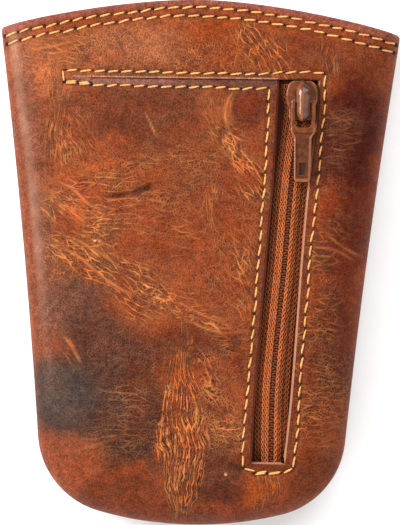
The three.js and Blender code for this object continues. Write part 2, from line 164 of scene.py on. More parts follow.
class Gathered:
    """Points and faces gathered for one mesh."""

    def __init__(self):
        self.points, self.faces, self.count = [], [], 0

    def loft(self, rings, turned=False, ends=(True, True), parted=()):
        """A skin over rings that have as many points each. ends says which ends are closed, and
        parted which rings aren't closed round. turned makes the skin face the other way."""
        rings = np.asarray(rings, float)
        rows, sides = rings.shape[:2]
        number = (self.count + np.arange(rows * sides)).reshape(rows, sides).tolist()
        self.points.append(rings.reshape(-1, 3))
        self.count += rows * sides
        faces = []
        for r, (near, far) in enumerate(zip(number, number[1:])):
            for k in range(sides - (r in parted)):
                j = (k + 1) % sides
                faces.append([near[k], near[j], far[j], far[k]])
        faces += [number[0][::-1]] * ends[0] + [number[-1]] * ends[1]
        self.faces += [face[:1] + face[:0:-1] for face in faces] if turned else faces

    def tube(self, path, radius, sides=8, ply=0.0, turns=0.0, flat=1.0):
        """A closed tube along path. radius may differ along it. ply and turns give a twisted thread."""
        path = np.asarray(path, float)
        tangent = unit(np.gradient(path, axis=0))
        across = unit(np.cross(tangent, (0.0, 0.0, 1.0)))
        above = np.cross(across, tangent)
        angles = np.arange(sides) / sides * 2 * pi
        twist = np.linspace(0, turns * 2 * pi, len(path))[:, None]
        radii = np.broadcast_to(radius, len(path))[:, None] * (1 + ply * np.cos(2 * (angles - twist)))
        sideways = across[:, None] * (radii * np.cos(angles))[..., None]
        upwards = above[:, None] * (flat * radii * np.sin(angles))[..., None]
        self.loft(path[:, None] + sideways + upwards, turned=True)

    def made(self, name, material, place=(0, 0, 0)):
        return make_object(name, np.vstack(self.points) + place, self.faces, (material,))


def placed(name, data):
    """A new object in the scene."""
    thing = bpy.data.objects.new(name, data)
    bpy.context.scene.collection.objects.link(thing)
    return thing


@contextmanager
def reworked(data):
    """A mesh to be worked on, written back when that is done."""
    mesh = bmesh.new()
    mesh.from_mesh(data)
    yield mesh
    mesh.to_mesh(data)
    mesh.free()


def make_object(name, points, faces, materials, face_materials=None):
    """A mesh object from points in millimetres."""
    mesh = bpy.data.meshes.new(name)
    mesh.from_pydata((np.asarray(points, float) * MM).tolist(), [], faces)
    for material in materials:
        mesh.materials.append(material)
    if face_materials is not None:
        mesh.polygons.foreach_set("material_index", face_materials)
    mesh.polygons.foreach_set("use_smooth", [True] * len(mesh.polygons))
    mesh.update()
    return placed(name, mesh)


def point_array(piece):
    co = np.empty(len(piece.data.vertices) * 3)
    piece.data.vertices.foreach_get("co", co)
    return co.reshape(-1, 3) / MM


def add_attribute(piece, name, values):
    """A value, or three, for each point of a piece's mesh."""
    values = np.asarray(values, np.float32)
    kind, field = ("FLOAT", "value") if values.ndim == 1 else ("FLOAT_VECTOR", "vector")
    piece.data.attributes.new(name, kind, "POINT").data.foreach_set(field, values.ravel())


# ---------- outline of the case ----------


def side_half_width(y):
    t = (np.asarray(y, float) - WAIST_Y) / FLARE_LENGTH
    return WAIST_HALF + FLARE * t + SWELL * t * t


def side_slope(y):
    t = (np.asarray(y, float) - WAIST_Y) / FLARE_LENGTH
    return (FLARE + 2 * SWELL * t) / FLARE_LENGTH


def mouth_line(x):
    return HALF_LENGTH - MOUTH_DROP * (np.abs(x) / MOUTH_DROP_AT) ** MOUTH_POWER


START_ANGLE = -atan2(float(side_slope(CORNER_START)), 1.0)
CORNER_X = float(side_half_width(CORNER_START)) - CORNER_RADIUS * cos(START_ANGLE)
CORNER_Y = CORNER_START - CORNER_RADIUS * sin(START_ANGLE)
CORNER_DEPTH = CORNER_Y + HALF_LENGTH
BOTTOM_RADIUS = (CORNER_X**2 + CORNER_DEPTH**2 - CORNER_RADIUS**2) / (2 * (CORNER_DEPTH - CORNER_RADIUS))
BOTTOM_Y = BOTTOM_RADIUS - HALF_LENGTH
END_ANGLE = atan2(CORNER_Y - BOTTOM_Y, CORNER_X)
MID_ANGLE = (START_ANGLE + END_ANGLE) / 2

MOUTH_CORNER_Y = HALF_LENGTH
for _ in range(8):
    MOUTH_CORNER_Y = float(mouth_line(side_half_width(MOUTH_CORNER_Y)))
MOUTH_CORNER_X = float(side_half_width(MOUTH_CORNER_Y))


def arc(centre_x, centre_y, radius, start, end, count=40):
    angles = np.linspace(start, end, count)
    return np.stack([centre_x + radius * np.cos(angles), centre_y + radius * np.sin(angles)], axis=1)


upper_corner = arc(CORNER_X, CORNER_Y, CORNER_RADIUS, MID_ANGLE, START_ANGLE)
side_ys = np.linspace(CORNER_START, MOUTH_CORNER_Y, 200)
right_side = np.vstack([upper_corner, np.stack([side_half_width(side_ys), side_ys], axis=1)[1:]])
lower_corner = arc(CORNER_X, CORNER_Y, CORNER_RADIUS, END_ANGLE, MID_ANGLE)
half_bottom = np.vstack([arc(0, BOTTOM_Y, BOTTOM_RADIUS, -pi / 2, END_ANGLE), lower_corner[1:]])
bottom_side = np.vstack([half_bottom[::-1] * (-1, 1), half_bottom[1:]])
RIGHT_LINE = even(right_side, 1200)
BOTTOM_LINE = even(bottom_side, 1200)


def along(line, fraction):
    at = np.linspace(0, 1, len(line))
    return np.interp(fraction, at, line[:, 0]), np.interp(fraction, at, line[:, 1])


def plan(u, v):
    """A point of a panel: u from left to right, v from the bottom to the mouth."""
    low_x, low_y = along(BOTTOM_LINE, u)
    across = 2 * u - 1
    high_x = across * MOUTH_CORNER_X
    side_x, side_y = along(RIGHT_LINE, v)
    corner_x, corner_y = RIGHT_LINE[0]
    x = blend(low_x, high_x, v) + across * (side_x - blend(corner_x, MOUTH_CORNER_X, v))
    y = blend(low_y, mouth_line(high_x), v) + side_y - blend(corner_y, MOUTH_CORNER_Y, v)
    return x, y


def inset(x, y):
    """How far points are inside the outline, and the way out to it."""
    ax = np.abs(x)
    slope = side_slope(y)
    lean = 1 / np.sqrt(1 + slope**2)
    side = (side_half_width(y) - ax) * lean
    from_bottom = np.hypot(ax, y - BOTTOM_Y)
    bottom = BOTTOM_RADIUS - from_bottom
    dx, dy = ax - CORNER_X, y - CORNER_Y
    reach = np.hypot(dx, dy) + 1e-9
    angle = np.arctan2(dy, dx)
    in_corner = (angle <= START_ANGLE) & (angle >= END_ANGLE)
    depth = np.where(in_corner, CORNER_RADIUS - reach, np.minimum(side, bottom))
    by_side = side < bottom
    out_x = np.where(in_corner, dx / reach, np.where(by_side, lean, ax / from_bottom))
    out_y = np.where(in_corner, dy / reach, np.where(by_side, -slope * lean, (y - BOTTOM_Y) / from_bottom))
    return np.maximum(depth, 0), np.where(x < 0, -out_x, out_x), out_y


# ---------- the panels' level ----------


def ellipse_radius(x, y, cx, cy, half_a, half_b, turn):
    """How far out points are in an ellipse: 0 in its middle, 1 on its edge."""
    t = radians(turn)
    a = ((x - cx) * cos(t) + (y - cy) * sin(t)) / half_a
    b = ((y - cy) * cos(t) - (x - cx) * sin(t)) / half_b
    return np.hypot(a, b)


def front_level(x, y):
    fall = smooth((y - MOUTH_SLOPE_START) / (HALF_LENGTH - MOUTH_SLOPE_START))
    level = CROWN - (CROWN - MOUTH_CROWN) * fall
    for _, *ellipse, lift in FRONT_RELIEF:
        level = level + lift * (1 - np.minimum(ellipse_radius(x, y, *ellipse), 1) ** 2) ** 2
    return level


def skin(face, x, y):
    """Points of a panel's outside and the way that its leather faces."""
    depth, out_x, out_y = inset(x, y)
    if face == "front":
        roll, rise = FRONT_ROLL, front_level(x, y) - SEAM
    else:
        roll, rise = BACK_ROLL, np.full_like(x, -SEAM)
    q = np.clip(1 - depth / roll, 0, 1)
    height = np.sqrt(np.maximum(1 - q * q, 0))
    normal = unit(np.stack([out_x * q / roll, out_y * q / roll, height / rise], axis=-1))
    return np.stack([x, y, SEAM + rise * height], axis=-1), normal


# ---------- painting on the plane of the front panel ----------

CELL = 0.15  # millimetres
REACH_X, REACH_Y = 50.0, 65.0
CANVAS_SHAPE = (int(2 * REACH_Y / CELL) + 1, int(2 * REACH_X / CELL) + 1)
canvas_y, canvas_x = np.meshgrid(
    np.linspace(-REACH_Y, REACH_Y, CANVAS_SHAPE[0]),
    np.linspace(-REACH_X, REACH_X, CANVAS_SHAPE[1]),
    indexing="ij",
)


def between_cells(grid, row, column, ease=lambda t: t):
    """A grid's values at places between its cells too. Past its edges the grid repeats."""
    rows, columns = grid.shape[:2]
    r, c = np.floor(row).astype(int), np.floor(column).astype(int)
    down, across = ease(row - r), ease(column - c)
    above, below, left, right = r % rows, (r + 1) % rows, c % columns, (c + 1) % columns
    if grid.ndim == 3:
        down, across = down[..., None], across[..., None]
    upper = blend(grid[above, left], grid[above, right], across)
    return blend(upper, blend(grid[below, left], grid[below, right], across), down)


def sample(canvas, x, y):
    """A canvas's values at points of the panel."""
    rows, columns = CANVAS_SHAPE
    row = np.clip((y + REACH_Y) / CELL, 0, rows - 1.001)
    return between_cells(canvas, row, np.clip((x + REACH_X) / CELL, 0, columns - 1.001))


def soft_noise(size, stretch=1.0):
    """Noise from -1 to 1 over the canvas, its lumps about size millimetres wide."""
    rows, columns = ceil(2 * REACH_Y / size) + 3, ceil(2 * REACH_X / (size * stretch)) + 3
    grid = random.uniform(-1, 1, (rows, columns))
    row = np.linspace(0.5, rows - 2.5, CANVAS_SHAPE[0])[:, None]
    return between_cells(grid, row, np.linspace(0.5, columns - 2.5, CANVAS_SHAPE[1])[None], smooth)


def blurred(canvas, size):
    """A canvas smoothed over about size millimetres."""
    reach = max(1, round(size / CELL / 2))
    width = 2 * reach + 1
    for _ in range(2):
        for _ in range(3):
            total = np.cumsum(np.pad(canvas, ((reach + 1, reach), (0, 0)), mode="edge"), axis=0)
            canvas = (total[width:] - total[:-width]) / width
        canvas = canvas.T
    return canvas


LATTICE = random.uniform(-1, 1, (256, 256))


def lattice_noise(u, v):
    """Smooth noise from -1 to 1 at any coordinates, its lumps one unit wide."""
    return between_cells(LATTICE, u, v, smooth)


def veins(x, y, direction, long, wide):
    """Winding joined ridge lines from 0 to 1 that run along a direction."""
    t = radians(direction)
    u = (x * cos(t) + y * sin(t)) / long + random.uniform(0, 200)
    v = (y * cos(t) - x * sin(t)) / wide + random.uniform(0, 200)
    bend = 0.9 * lattice_noise(u * 0.9 + 31, v * 0.45 + 7)
    noise = lattice_noise(u, v + bend) + 0.45 * lattice_noise(2.1 * u + 17, 2.1 * v + bend)
    return np.exp(-((noise / 0.13) ** 2))


class Strokes:
    """Fine lines gathered for a canvas, then drawn at once."""

    def __init__(self):
        self.parts = []

    def add(self, line, width, strength, taper=True):
        line = even(line, max(3, int(lengths(line)[-1] / 0.1)))
        s = np.linspace(0, 1, len(line))
        fade = np.sin(pi * np.clip(s, 0.02, 0.98)) ** 0.6 if taper else 1.0
        flicker = 1 + 0.25 * np.sin(s * random.uniform(6, 16) + random.uniform(0, 6))
        self.parts.append(np.column_stack([line, np.full(len(line), width), strength * fade * flicker]))

    def drawn(self):
        canvas = np.zeros(CANVAS_SHAPE)
        points = np.vstack(self.parts)
        on_canvas = (np.abs(points[:, :2]) < (REACH_X - 1.5, REACH_Y - 1.5)).all(axis=1)
        x, y, width, strength = points[on_canvas].T
        column = np.round((x + REACH_X) / CELL).astype(int)
        row = np.round((y + REACH_Y) / CELL).astype(int)
        for down in range(-4, 5):
            for across in range(-4, 5):
                gap_x = (column + across) * CELL - REACH_X - x
                gap_y = (row + down) * CELL - REACH_Y - y
                value = strength * np.exp(-(gap_x**2 + gap_y**2) / (0.36 * width**2 + 0.004))
                np.maximum.at(canvas, (row + down, column + across), value)
        return canvas


# Nets of creases, where the worn leather shows its lighter core along the borders of long
# cells, each kind with wide cells first and then narrow ones. name, direction in degrees from +X,
# width of the cells, their length over their width, width of the lines, how bright they are
NETS = (
    ("net_up", 91, 1.25, 7.5, 0.85, 1.0),
    ("net_up", 93, 0.62, 7.0, 0.5, 0.75),
    ("net_flow", -31, 1.5, 3.2, 1.0, 1.0),
    ("net_flow", -24, 0.75, 3.5, 0.5, 0.6),
    ("net_level", -2, 1.6, 3.0, 1.0, 1.0),
    ("net_level", 6, 0.8, 3.2, 0.5, 0.55),
    ("net_cross", -58, 1.4, 3.2, 1.0, 1.0),
    ("net_cross", -50, 0.7, 3.4, 0.5, 0.6),
)
FINE_NET, FINE_NET_SIZE = "net_fine", 0.66
NET_NAMES = list(dict.fromkeys(name for name, *_ in NETS)) + [FINE_NET]
# Where they show. name, net, x, y, half length, half width, turn of the long axis, strength
CREASE_ZONES = (
    ("bundle head", "net_up", -3.4, -18, 6, 1.6, 96, 0.6),
    ("bundle spur", "net_cross", 1.5, -26, 7, 2.4, -60, 0.8),
    ("right of bundle", "net_fine", 6, -34, 7, 12, 0, 0.95),
    ("right of bundle long", "net_cross", 6.5, -33, 6, 9, 0, 0.5),
    ("by zip foot", "net_level", 8.5, -40, 5.5, 4, -25, 0.8),
    ("left of bundle", "net_level", -14, -36, 8, 7, 0, 0.3),
    ("left of bundle low", "net_fine", -12, -40, 6, 8, 0, 0.35),
    ("river west", "net_flow", -26, 0.5, 12, 4.6, -24, 1.0),
    ("river middle", "net_flow", -14, -6, 11, 5.0, -32, 1.0),
    ("river bend", "net_level", -3, -10, 9, 4.4, -4, 0.75),
    ("river east", "net_flow", 3, -14, 9, 4.2, -28, 0.85),
    ("river delta", "net_level", 9, -17, 7, 5, -8, 0.7),
    ("west net", "net_level", -26, 14, 11, 7, -10, 0.85),
    ("west net slant", "net_flow", -30, 10, 9, 6, -20, 0.85),
    ("west net low", "net_level", -29, 4, 7, 4, -6, 0.7),
    ("middle net", "net_level", -10, 8, 15, 10, 0, 0.42),
    ("upper net", "net_fine", -10, 22, 17, 8, 0, 0.5),
    ("upper net long", "net_level", -8, 22, 15, 6, 6, 0.4),
    ("upper west", "net_cross", -30, 26, 6, 9, 0, 0.5),
    ("side fold", "net_up", -34, 27, 18, 3.4, 88, 0.62),
    ("side low", "net_fine", -33, -4, 6, 16, 0, 0.35),
    ("left of coin", "net_cross", 4.0, 31, 9, 3.4, 112, 0.7),
    ("left of coin up", "net_up", 3.6, 34, 8, 3.0, 100, 0.6),
    ("under coin", "net_flow", 8.5, 26, 9, 4.0, -38, 1.0),
    ("fan to zip", "net_cross", 12.5, 22.0, 8, 4, -50, 1.0),
    ("round print", "net_up", 3.0, 14, 8, 2.8, 100, 0.55),
    ("below print", "net_cross", 10, 3, 10, 6, 90, 0.6),
    ("near zip middle", "net_fine", 10, -2, 6, 14, 0, 0.55),
    ("near zip low", "net_cross", 12, -8, 9, 3, 95, 0.5),
    ("right upper", "net_level", 34, 30, 7, 8, 0, 0.35),
    ("right middle", "net_level", 34, 5, 8, 8, 8, 0.72),
    ("right slant", "net_flow", 32, 9, 6, 5, -30, 0.5),
    ("right lower", "net_level", 31, -12, 7, 5, 6, 0.75),
    ("right foot", "net_level", 30, -32, 5.5, 14, 0, 0.6),
    ("right fine", "net_fine", 31, -24, 6, 22, 0, 0.5),
    ("above zip", "net_cross", 16.5, 50, 8, 5, -50, 0.9),
    ("above zip left", "net_cross", 12, 53, 5, 5, 0, 0.5),
    ("above slit", "net_fine", -6, 49, 28, 5, 0, 0.55),
    ("above corner", "net_up", 30, 49, 4, 7, 0, 0.4),
    ("under hem", "net_level", -33, 49, 10, 4, 14, 0.5),
    ("left slashes", "net_cross", -28.5, -21, 5.5, 2.2, -52, 0.55),
    ("grey heart scratches", "net_level", -23, -33, 10, 10, 0, 0.22),
    ("low left sweep", "net_level", -22, -45, 10, 4, 12, 0.4),
    ("low left speckle", "net_fine", -27, -50, 10, 6, -20, 0.4),
    ("zip foot fold", "net_up", 17.5, -54, 4, 5, 90, 0.8),
    ("right of coin", "net_fine", 11, 39, 5, 3, 0, 0.4),
    ("everywhere", "net_fine", 0, 0, 70, 50, 90, 0.36),
    ("everywhere long", "net_level", 0, 0, 70, 50, 90, 0.10),
)

# Where the wax lies thick and few creases show:
# what, x, y, half length, half width, turn in degrees, how much of them is gone
PLAIN_PATCHES = (
    ("grey stain", -29, -33, 12, 9, 80, 0.7),
    ("foot, left", -22, -51, 16, 6, -10, 0.8),
    ("foot, right", 8, -54, 10, 4, 0, 0.7),
    ("right edge", 41, 12, 30, 5.5, 83, 0.75),
    ("under the slit", -12, 34, 13, 7, 0, 0.5),
    ("pressed disc", 11, 36, 5, 5, 0, 0.7),
)

# Single creases and rings that stand out: points, width, strength.
BOLD_CREASES = (
    (((8.6, 41.6), (6.9, 38.6), (6.3, 35.4), (7.0, 32.2), (8.7, 30.2)), 0.5, 0.75),
    (((9.3, 41.0), (7.8, 38.4), (7.3, 35.2), (8.0, 32.4)), 0.3, 0.5),
    (((2.6, 19.5), (3.2, 14.0), (5.2, 9.6), (8.2, 7.6)), 0.35, 0.5),
    (((-12.8, 35.6), (-11.6, 33.2), (-10.4, 30.6), (-9.6, 29.2)), 0.3, 0.9),
    (((-41.5, 49.6), (-36, 50.2), (-31, 51.6), (-25, 53.0)), 0.4, 0.5),
    (((-33.6, 3.4), (-28, 1.0), (-22.6, -3.4), (-18, -6.4), (-13.4, -8.6)), 0.42, 0.95),
    (((-31.5, 6.2), (-26, 3.6), (-21.4, 1.0), (-16.6, -2.8)), 0.34, 0.8),
    (((-8.6, -8.6), (-2.6, -10.2), (2.6, -12.6), (7.8, -14.6)), 0.36, 0.8),
    (((-5.4, -11.0), (0.4, -14.6), (6.2, -16.4), (12.6, -16.2)), 0.34, 0.8),
    (((-33.0, 18.6), (-28.8, 16.2), (-25.2, 13.0), (-21.6, 11.8)), 0.36, 0.9),
    (((-33.4, 14.0), (-29.6, 11.4), (-26.0, 8.6)), 0.36, 0.9),
    (((28.6, 9.6), (32.2, 6.4), (36.4, 3.6), (40.2, 2.0)), 0.34, 0.8),
    (((28.0, 4.4), (33.2, 3.6), (37.6, 1.2)), 0.34, 0.8),
    (((-31.2, -17.6), (-28.9, -20.6), (-26.3, -24.8)), 0.42, 0.9),
    (((-29.6, -18.6), (-27.6, -22.0)), 0.34, 0.8),
    (((-30.5, -46.2), (-24, -44.2), (-15.5, -41.4)), 0.5, 0.35),
    (((-3.2, -55.5), (-3.0, -58.4), (-3.3, -61.4)), 0.3, 0.7),
)
# Dark scores in the surface: points, width, strength.
SCORES = (
    (((-22.4, 15.0), (-18.6, 15.4), (-14.6, 16.6), (-12.2, 17.6), (-9.8, 18.6)), 0.7, 1.2),
    (((-16.2, 15.6), (-13.2, 16.6), (-10.2, 18.0)), 0.8, 1.1),
    (((9.2, -47.2), (12.0, -49.4), (10.2, -50.2)), 0.6, 0.5),
)
SPECKS = ((-23.9, 4.6), (-22.8, 4.5), (8.3, -50.0))

# Colours as they look, 0 to 255.
LEATHER_BASE = (158, 84, 50)
# Stains and lighter patches, with some painted light and shade: name, x, y, half length, half width, turn,
# colour, strength
TONES = (
    # Greyer along the left roll: part of the painted sheen there.
    ("left side", -41, 10, 50, 8, 86, (150, 88, 60), 0.7),
    ("upper left", -32, 47, 16, 8, 0, (190, 116, 76), 0.85),
    ("left of slit", -34, 42, 4.5, 6, 0, (200, 126, 84), 0.8),
    ("above slit left", -14, 51, 13, 6, 0, (190, 124, 88), 0.9),
    ("above slit right", 9, 51, 16, 7, 0, (168, 80, 24), 0.95),
    ("above right corner", 26, 50, 8, 5, -20, (134, 64, 32), 0.8),
    ("right top", 37, 45, 6, 8, 0, (150, 90, 62), 0.55),
    ("under slit", -14, 36, 19, 8, 0, (122, 70, 50), 0.95),
    ("under slit strip", -8, 42.8, 26, 2.2, 0, (116, 76, 66), 0.8),
    ("under slit right", 13, 41, 8, 4, 0, (112, 70, 56), 0.75),
    ("coin", 10.5, 36, 5.4, 5.2, 0, (118, 58, 36), 0.85),
    ("left of coin", 2.5, 37, 4, 9, 0, (178, 98, 56), 0.75),
    ("golden net", -8, 22, 18, 7, 0, (152, 82, 44), 0.6),
    ("bright west", -27, 16, 8, 9, 0, (194, 104, 60), 0.85),
    ("middle", -4, 6, 16, 10, 0, (158, 80, 44), 0.6),
    ("print", 7.5, 14, 5.5, 6, 0, (150, 72, 38), 0.7),
    ("right of print", 12, 4, 5, 20, 0, (166, 80, 38), 0.6),
    ("river", -10, -7, 24, 5, -20, (168, 92, 56), 0.6),
    ("left below river", -27, -12, 9, 8, -20, (110, 78, 70), 0.9),
    ("red below river", -4, -20, 8, 6, 0, (106, 50, 34), 0.85),
    ("red right", 8, -21, 5, 6, 0, (118, 56, 34), 0.7),
    ("grey upper", -18, -20, 12, 8, -15, (88, 58, 52), 0.95),
    ("grey stain", -24, -33, 14, 13, 10, (78, 60, 58), 1.0),
    ("grey heart", -29, -31, 8, 9, 0, (80, 76, 78), 0.95),
    ("grey tail", -15, -42, 10, 7, 10, (74, 52, 44), 0.95),
    ("brown by bundle", -13, -30, 5, 10, 0, (92, 52, 40), 0.8),
    ("left of bundle", -9.6, -41, 11, 1.6, 94, (60, 44, 42), 0.65),
    ("bundle", -3, -38, 18, 4.8, 92, (164, 82, 42), 0.9),
    ("right of bundle", 6, -33, 5, 12, 0, (150, 80, 50), 0.6),
    ("zip foot left", 10, -37, 3.5, 10, 0, (172, 92, 50), 0.7),
    ("dark foot", 6, -50, 7, 8, 20, (104, 60, 46), 0.95),
    ("zip foot fold", 17.5, -53, 5, 4.5, 0, (176, 90, 40), 0.85),
    ("left corner", -29, -49, 9, 8, -40, (168, 96, 64), 0.85),
    ("low left", -16, -55, 12, 5, -10, (132, 74, 54), 0.8),
    ("foot roll", 0, -60, 30, 4.5, 0, (150, 80, 54), 0.8),
    # The right panel's dark tones are partly painted shade, where it faces away from the light.
    ("right panel upper", 36, 31, 9, 19, 0, (84, 34, 14), 0.97),
    ("right panel middle", 35, 6, 8, 12, 0, (110, 46, 16), 0.9),
    ("right panel low", 33, -18, 7, 16, 0, (106, 48, 22), 0.9),
    ("right glow", 29, -30, 3.5, 14, 0, (136, 62, 26), 0.8),
    ("right foot", 28, -49, 8, 8, 40, (128, 66, 38), 0.8),
    ("by zip right", 31, 12, 3, 6, 0, (150, 64, 32), 0.7),
)

# The mouth fold's tone is a painted sheen, and the slit's lip tone is partly a painted highlight.
STRIP_TONE, LIP_TONE, MOUTH_FOLD_SHEEN_TONE = (120, 62, 43), (236, 186, 160), (166, 104, 98)
UNDER_SLIT_TONE, UNDER_SLIT_PALE = (124, 86, 84), (182, 138, 134)
# Tones of the painted sheen on the left roll, of the painted shade beside it, and of the roll's very edge
SHEEN_HIGHLIGHT_TONE, SHADE_BY_SHEEN_TONE, SIDE_EDGE_TONE = (188, 166, 164), (134, 98, 90), (172, 88, 60)


def slit_line(x):
    return blend(SLIT_START_Y, SLIT_END_Y, np.clip((x - SLIT_START) / SLIT_LENGTH, 0, 1))


# The low bundle of creases is a spindle: y, middle, half width
BUNDLE = (
    (-62, -2.2, 1.0), (-59, -2.1, 2.0), (-56, -2.0, 3.5), (-50, -2.2, 4.6), (-42, -2.3, 5.6),
    (-36, -2.4, 5.3), (-31, -2.7, 4.2), (-25, -3.3, 2.4), (-18, -3.5, 1.6),
)


def bundle_place(x, y):
    """How far across the low bundle points are, -1 to 1, and whether they lie along it, 0 to 1."""
    ys, middles, halves = np.array(BUNDLE).T
    across = (x - np.interp(y, ys, middles)) / np.interp(y, ys, halves)
    return across, smooth((-18.5 - y) / 4) * smooth((y + 62) / 3)


warp_x, warp_y = (
    axis + 2.2 * soft_noise(9) + 0.9 * soft_noise(3) + 0.3 * soft_noise(1) for axis in (canvas_x, canvas_y)
)


def spot(x, y, half_a, half_b, turn, strength, reach=1.3):
    """A soft-edged ellipse on the canvas, a little warped."""
    return strength * smooth((reach - ellipse_radius(warp_x, warp_y, x, y, half_a, half_b, turn)) / 0.75)


def paint_tones():
    """The front panel's tone as it looks, and the painted sheen, a highlight streak, down its left roll."""
    tone = np.full(CANVAS_SHAPE + (3,), LEATHER_BASE, float)
    for _, *place, colour, strength in TONES:
        tone = blend(tone, np.array(colour), spot(*place, strength, reach=1.25)[..., None])
    left = window_left(canvas_y)
    in_rows = smooth((WINDOW_TOP + 0.6 - canvas_y) / 0.8) * smooth((canvas_y - WINDOW_BOTTOM + 1.9) / 0.6)
    beside = np.maximum(left - canvas_x, canvas_x - window_right(canvas_y))
    strip = 0.85 * smooth((1.35 - beside) / 0.4) * in_rows
    from_slit = canvas_y - slit_line(canvas_x)
    by_slit = smooth((canvas_x - SLIT_START + 5) / 2) * smooth((left + 0.5 - canvas_x) / 0.5)
    under = 0.9 * smooth((from_slit + 2.0) / 0.5) * (from_slit < 0) * by_slit
    # The slit's pale lip is the cut edge's own paler colour, with a painted highlight where it catches the
    # light.
    lip = 0.85 * (from_slit >= 0) * smooth((0.5 - from_slit) / 0.2) * by_slit
    by_end = smooth((4 - canvas_x) / 30)[..., None]
    under_tone = blend(np.array(UNDER_SLIT_TONE), np.array(UNDER_SLIT_PALE), by_end)
    # A painted sheen along the mouth's rounded fold.
    mouth_fold_sheen = 0.85 * smooth((canvas_y - mouth_line(canvas_x) + 1.7) / 0.8)
    side_depth = side_half_width(canvas_y) + canvas_x
    # A painted sheen, a pale highlight streak, runs down the left roll. Painted shade lies beside it, and
    # an orange band lies at the roll's very edge.
    from_streak = side_depth - 3.4 + 0.9 * smooth((canvas_y - 10) / 40)
    on_side = smooth((canvas_y + 45) / 50) * np.clip(0.85 + 0.2 * soft_noise(6), 0, 1)
    painted_sheen = on_side * smooth(1.15 - np.abs(from_streak) / np.where(from_streak > 0, 2.1, 1.3))
    shade_by_sheen = 0.5 * on_side * smooth(from_streak / 1.5) * smooth((5.5 - from_streak) / 3)
    side_edge = 0.5 * on_side * smooth((1.6 - side_depth) / 0.9)
    for cover, colour in (
        (shade_by_sheen, SHADE_BY_SHEEN_TONE), (side_edge, SIDE_EDGE_TONE), (0.66 * painted_sheen, SHEEN_HIGHLIGHT_TONE),
        (mouth_fold_sheen, MOUTH_FOLD_SHEEN_TONE), (strip, STRIP_TONE), (under, under_tone), (lip, LIP_TONE),
    ):
        tone = blend(tone, np.array(colour), cover[..., None])
    mottle = 0.055 * soft_noise(5) + 0.06 * soft_noise(1.8, 1.4) + 0.06 * soft_noise(0.8)
    return tone * (1 + mottle)[..., None], painted_sheen


def paint_creases():
    """The strength of the front panel's single creases and scores, and of each net of creases."""
    creases, scores, white_specks = Strokes(), Strokes(), Strokes()
    for points, width, strength in BOLD_CREASES:
        creases.add(spline(points, 60) + random.normal(0, 0.05, (60, 2)), 1.2 * width, strength)
    for points, width, strength in SCORES:
        scores.add(spline(points, 60) + random.normal(0, 0.12, (60, 2)), width, strength)
    # Small white specks, drawn above full crease strength, so the leather shows them near white.
    for x, y in SPECKS:
        white_specks.add(np.array([(x - 0.08, y), (x + 0.08, y - 0.05)]), 0.32, 1.7, taper=False)
    patchy = np.clip(0.8 + 0.5 * soft_noise(4) + 0.25 * soft_noise(1.6), 0, 1.3)
    nets = {name: np.zeros(CANVAS_SHAPE) for name in NET_NAMES}
    for _, name, *zone in CREASE_ZONES:
        nets[name] = blend(nets[name], 1, np.clip(spot(*zone) * patchy, 0, 1))
    across, along_it = bundle_place(blend(warp_x, canvas_x, 0.7), blend(warp_y, canvas_y, 0.7))
    bundle = along_it * smooth((across + 1.12) / 0.12) * smooth((1.3 - across) / 0.4)
    scored = np.clip(scores.drawn(), 0, 1)
    left_over = np.prod([1 - spot(*patch) for _, *patch in PLAIN_PATCHES], axis=0)
    nets = {name: net * left_over for name, net in nets.items()}
    nets["net_up"] = np.maximum(nets["net_up"], bundle * (0.7 + 0.5 * patchy))
    nets = {name: net * (1 - scored) for name, net in nets.items()}
    drawn = np.clip(creases.drawn(), 0, 1) * (1 - scored)
    return np.maximum(drawn, 2 * white_specks.drawn()), scored, nets


tone_canvas, painted_sheen_canvas = paint_tones()
crease_canvas, score_canvas, net_canvases = paint_creases()

# ---------- stitch rows ----------

STITCH_PITCH = 3.3
HEM_ROWS = (2.0, 4.0)  # below the mouth's edge
HEM_REACH = 47.1  # how far the hem rows go to each side
# Stitches round the pocket's cut: what, points on the front
POCKET_ROWS = (
    ("above slit", (
        (-31.8, 45.0), (-16, 44.95), (0, 44.95), (12, 45.1), (20, 45.5), (25, 45.75), (29.7, 45.4),
    )),
    ("left end", ((-32.1, 45.0), (-32.2, 42.0))),
    ("below slit", ((-32.0, 42.1), (-24, 41.6), (0, 41.6), (10, 41.5), (16.4, 41.85))),
    ("zip left", (
        (16.4, 41.85), (16.4, 36.5), (16.05, 22), (15.4, 10), (14.95, 3), (13.05, -29), (12.1, -45),
        (12.5, -48.4),
    )),
    ("zip foot", ((12.5, -48.4), (15.3, -49.3), (21.2, -49.3), (24.4, -48.4))),
    ("zip right", (
        (24.4, -48.4), (25.15, -40), (25.55, -29.5), (27.15, 1), (28.35, 16), (29.4, 32), (29.85, 38),
        (29.7, 45.4),
    )),
    ("left end again", ((-31.9, 42.4), (-25.9, 41.95))),
    ("zip foot again", ((15.0, -49.75), (21.4, -49.7))),
)


def hem_line(below):
    """A line at an even distance below the mouth's edge."""
    xs = np.linspace(-HEM_REACH, HEM_REACH, 400)
    line = np.stack([xs, mouth_line(xs)], axis=1)
    slope = np.gradient(line[:, 1], line[:, 0])
    return line + np.stack([slope, -np.ones_like(slope)], axis=1) * (below / np.sqrt(1 + slope**2))[:, None]


def needle_points(line):
    """Where a row's needle holes are, as (x, y) points in order."""
    row = even(line, max(2, round(lengths(line)[-1] / STITCH_PITCH) + 1))
    return np.vstack([row[:1], row[1:-1] + random.normal(0, 0.09, (len(row) - 2, 2)), row[-1:]])


stitch_lines = [hem_line(below) for below in HEM_ROWS] + [spline(points, 200) for _, points in POCKET_ROWS]
front_holes = [needle_points(line) for line in stitch_lines]


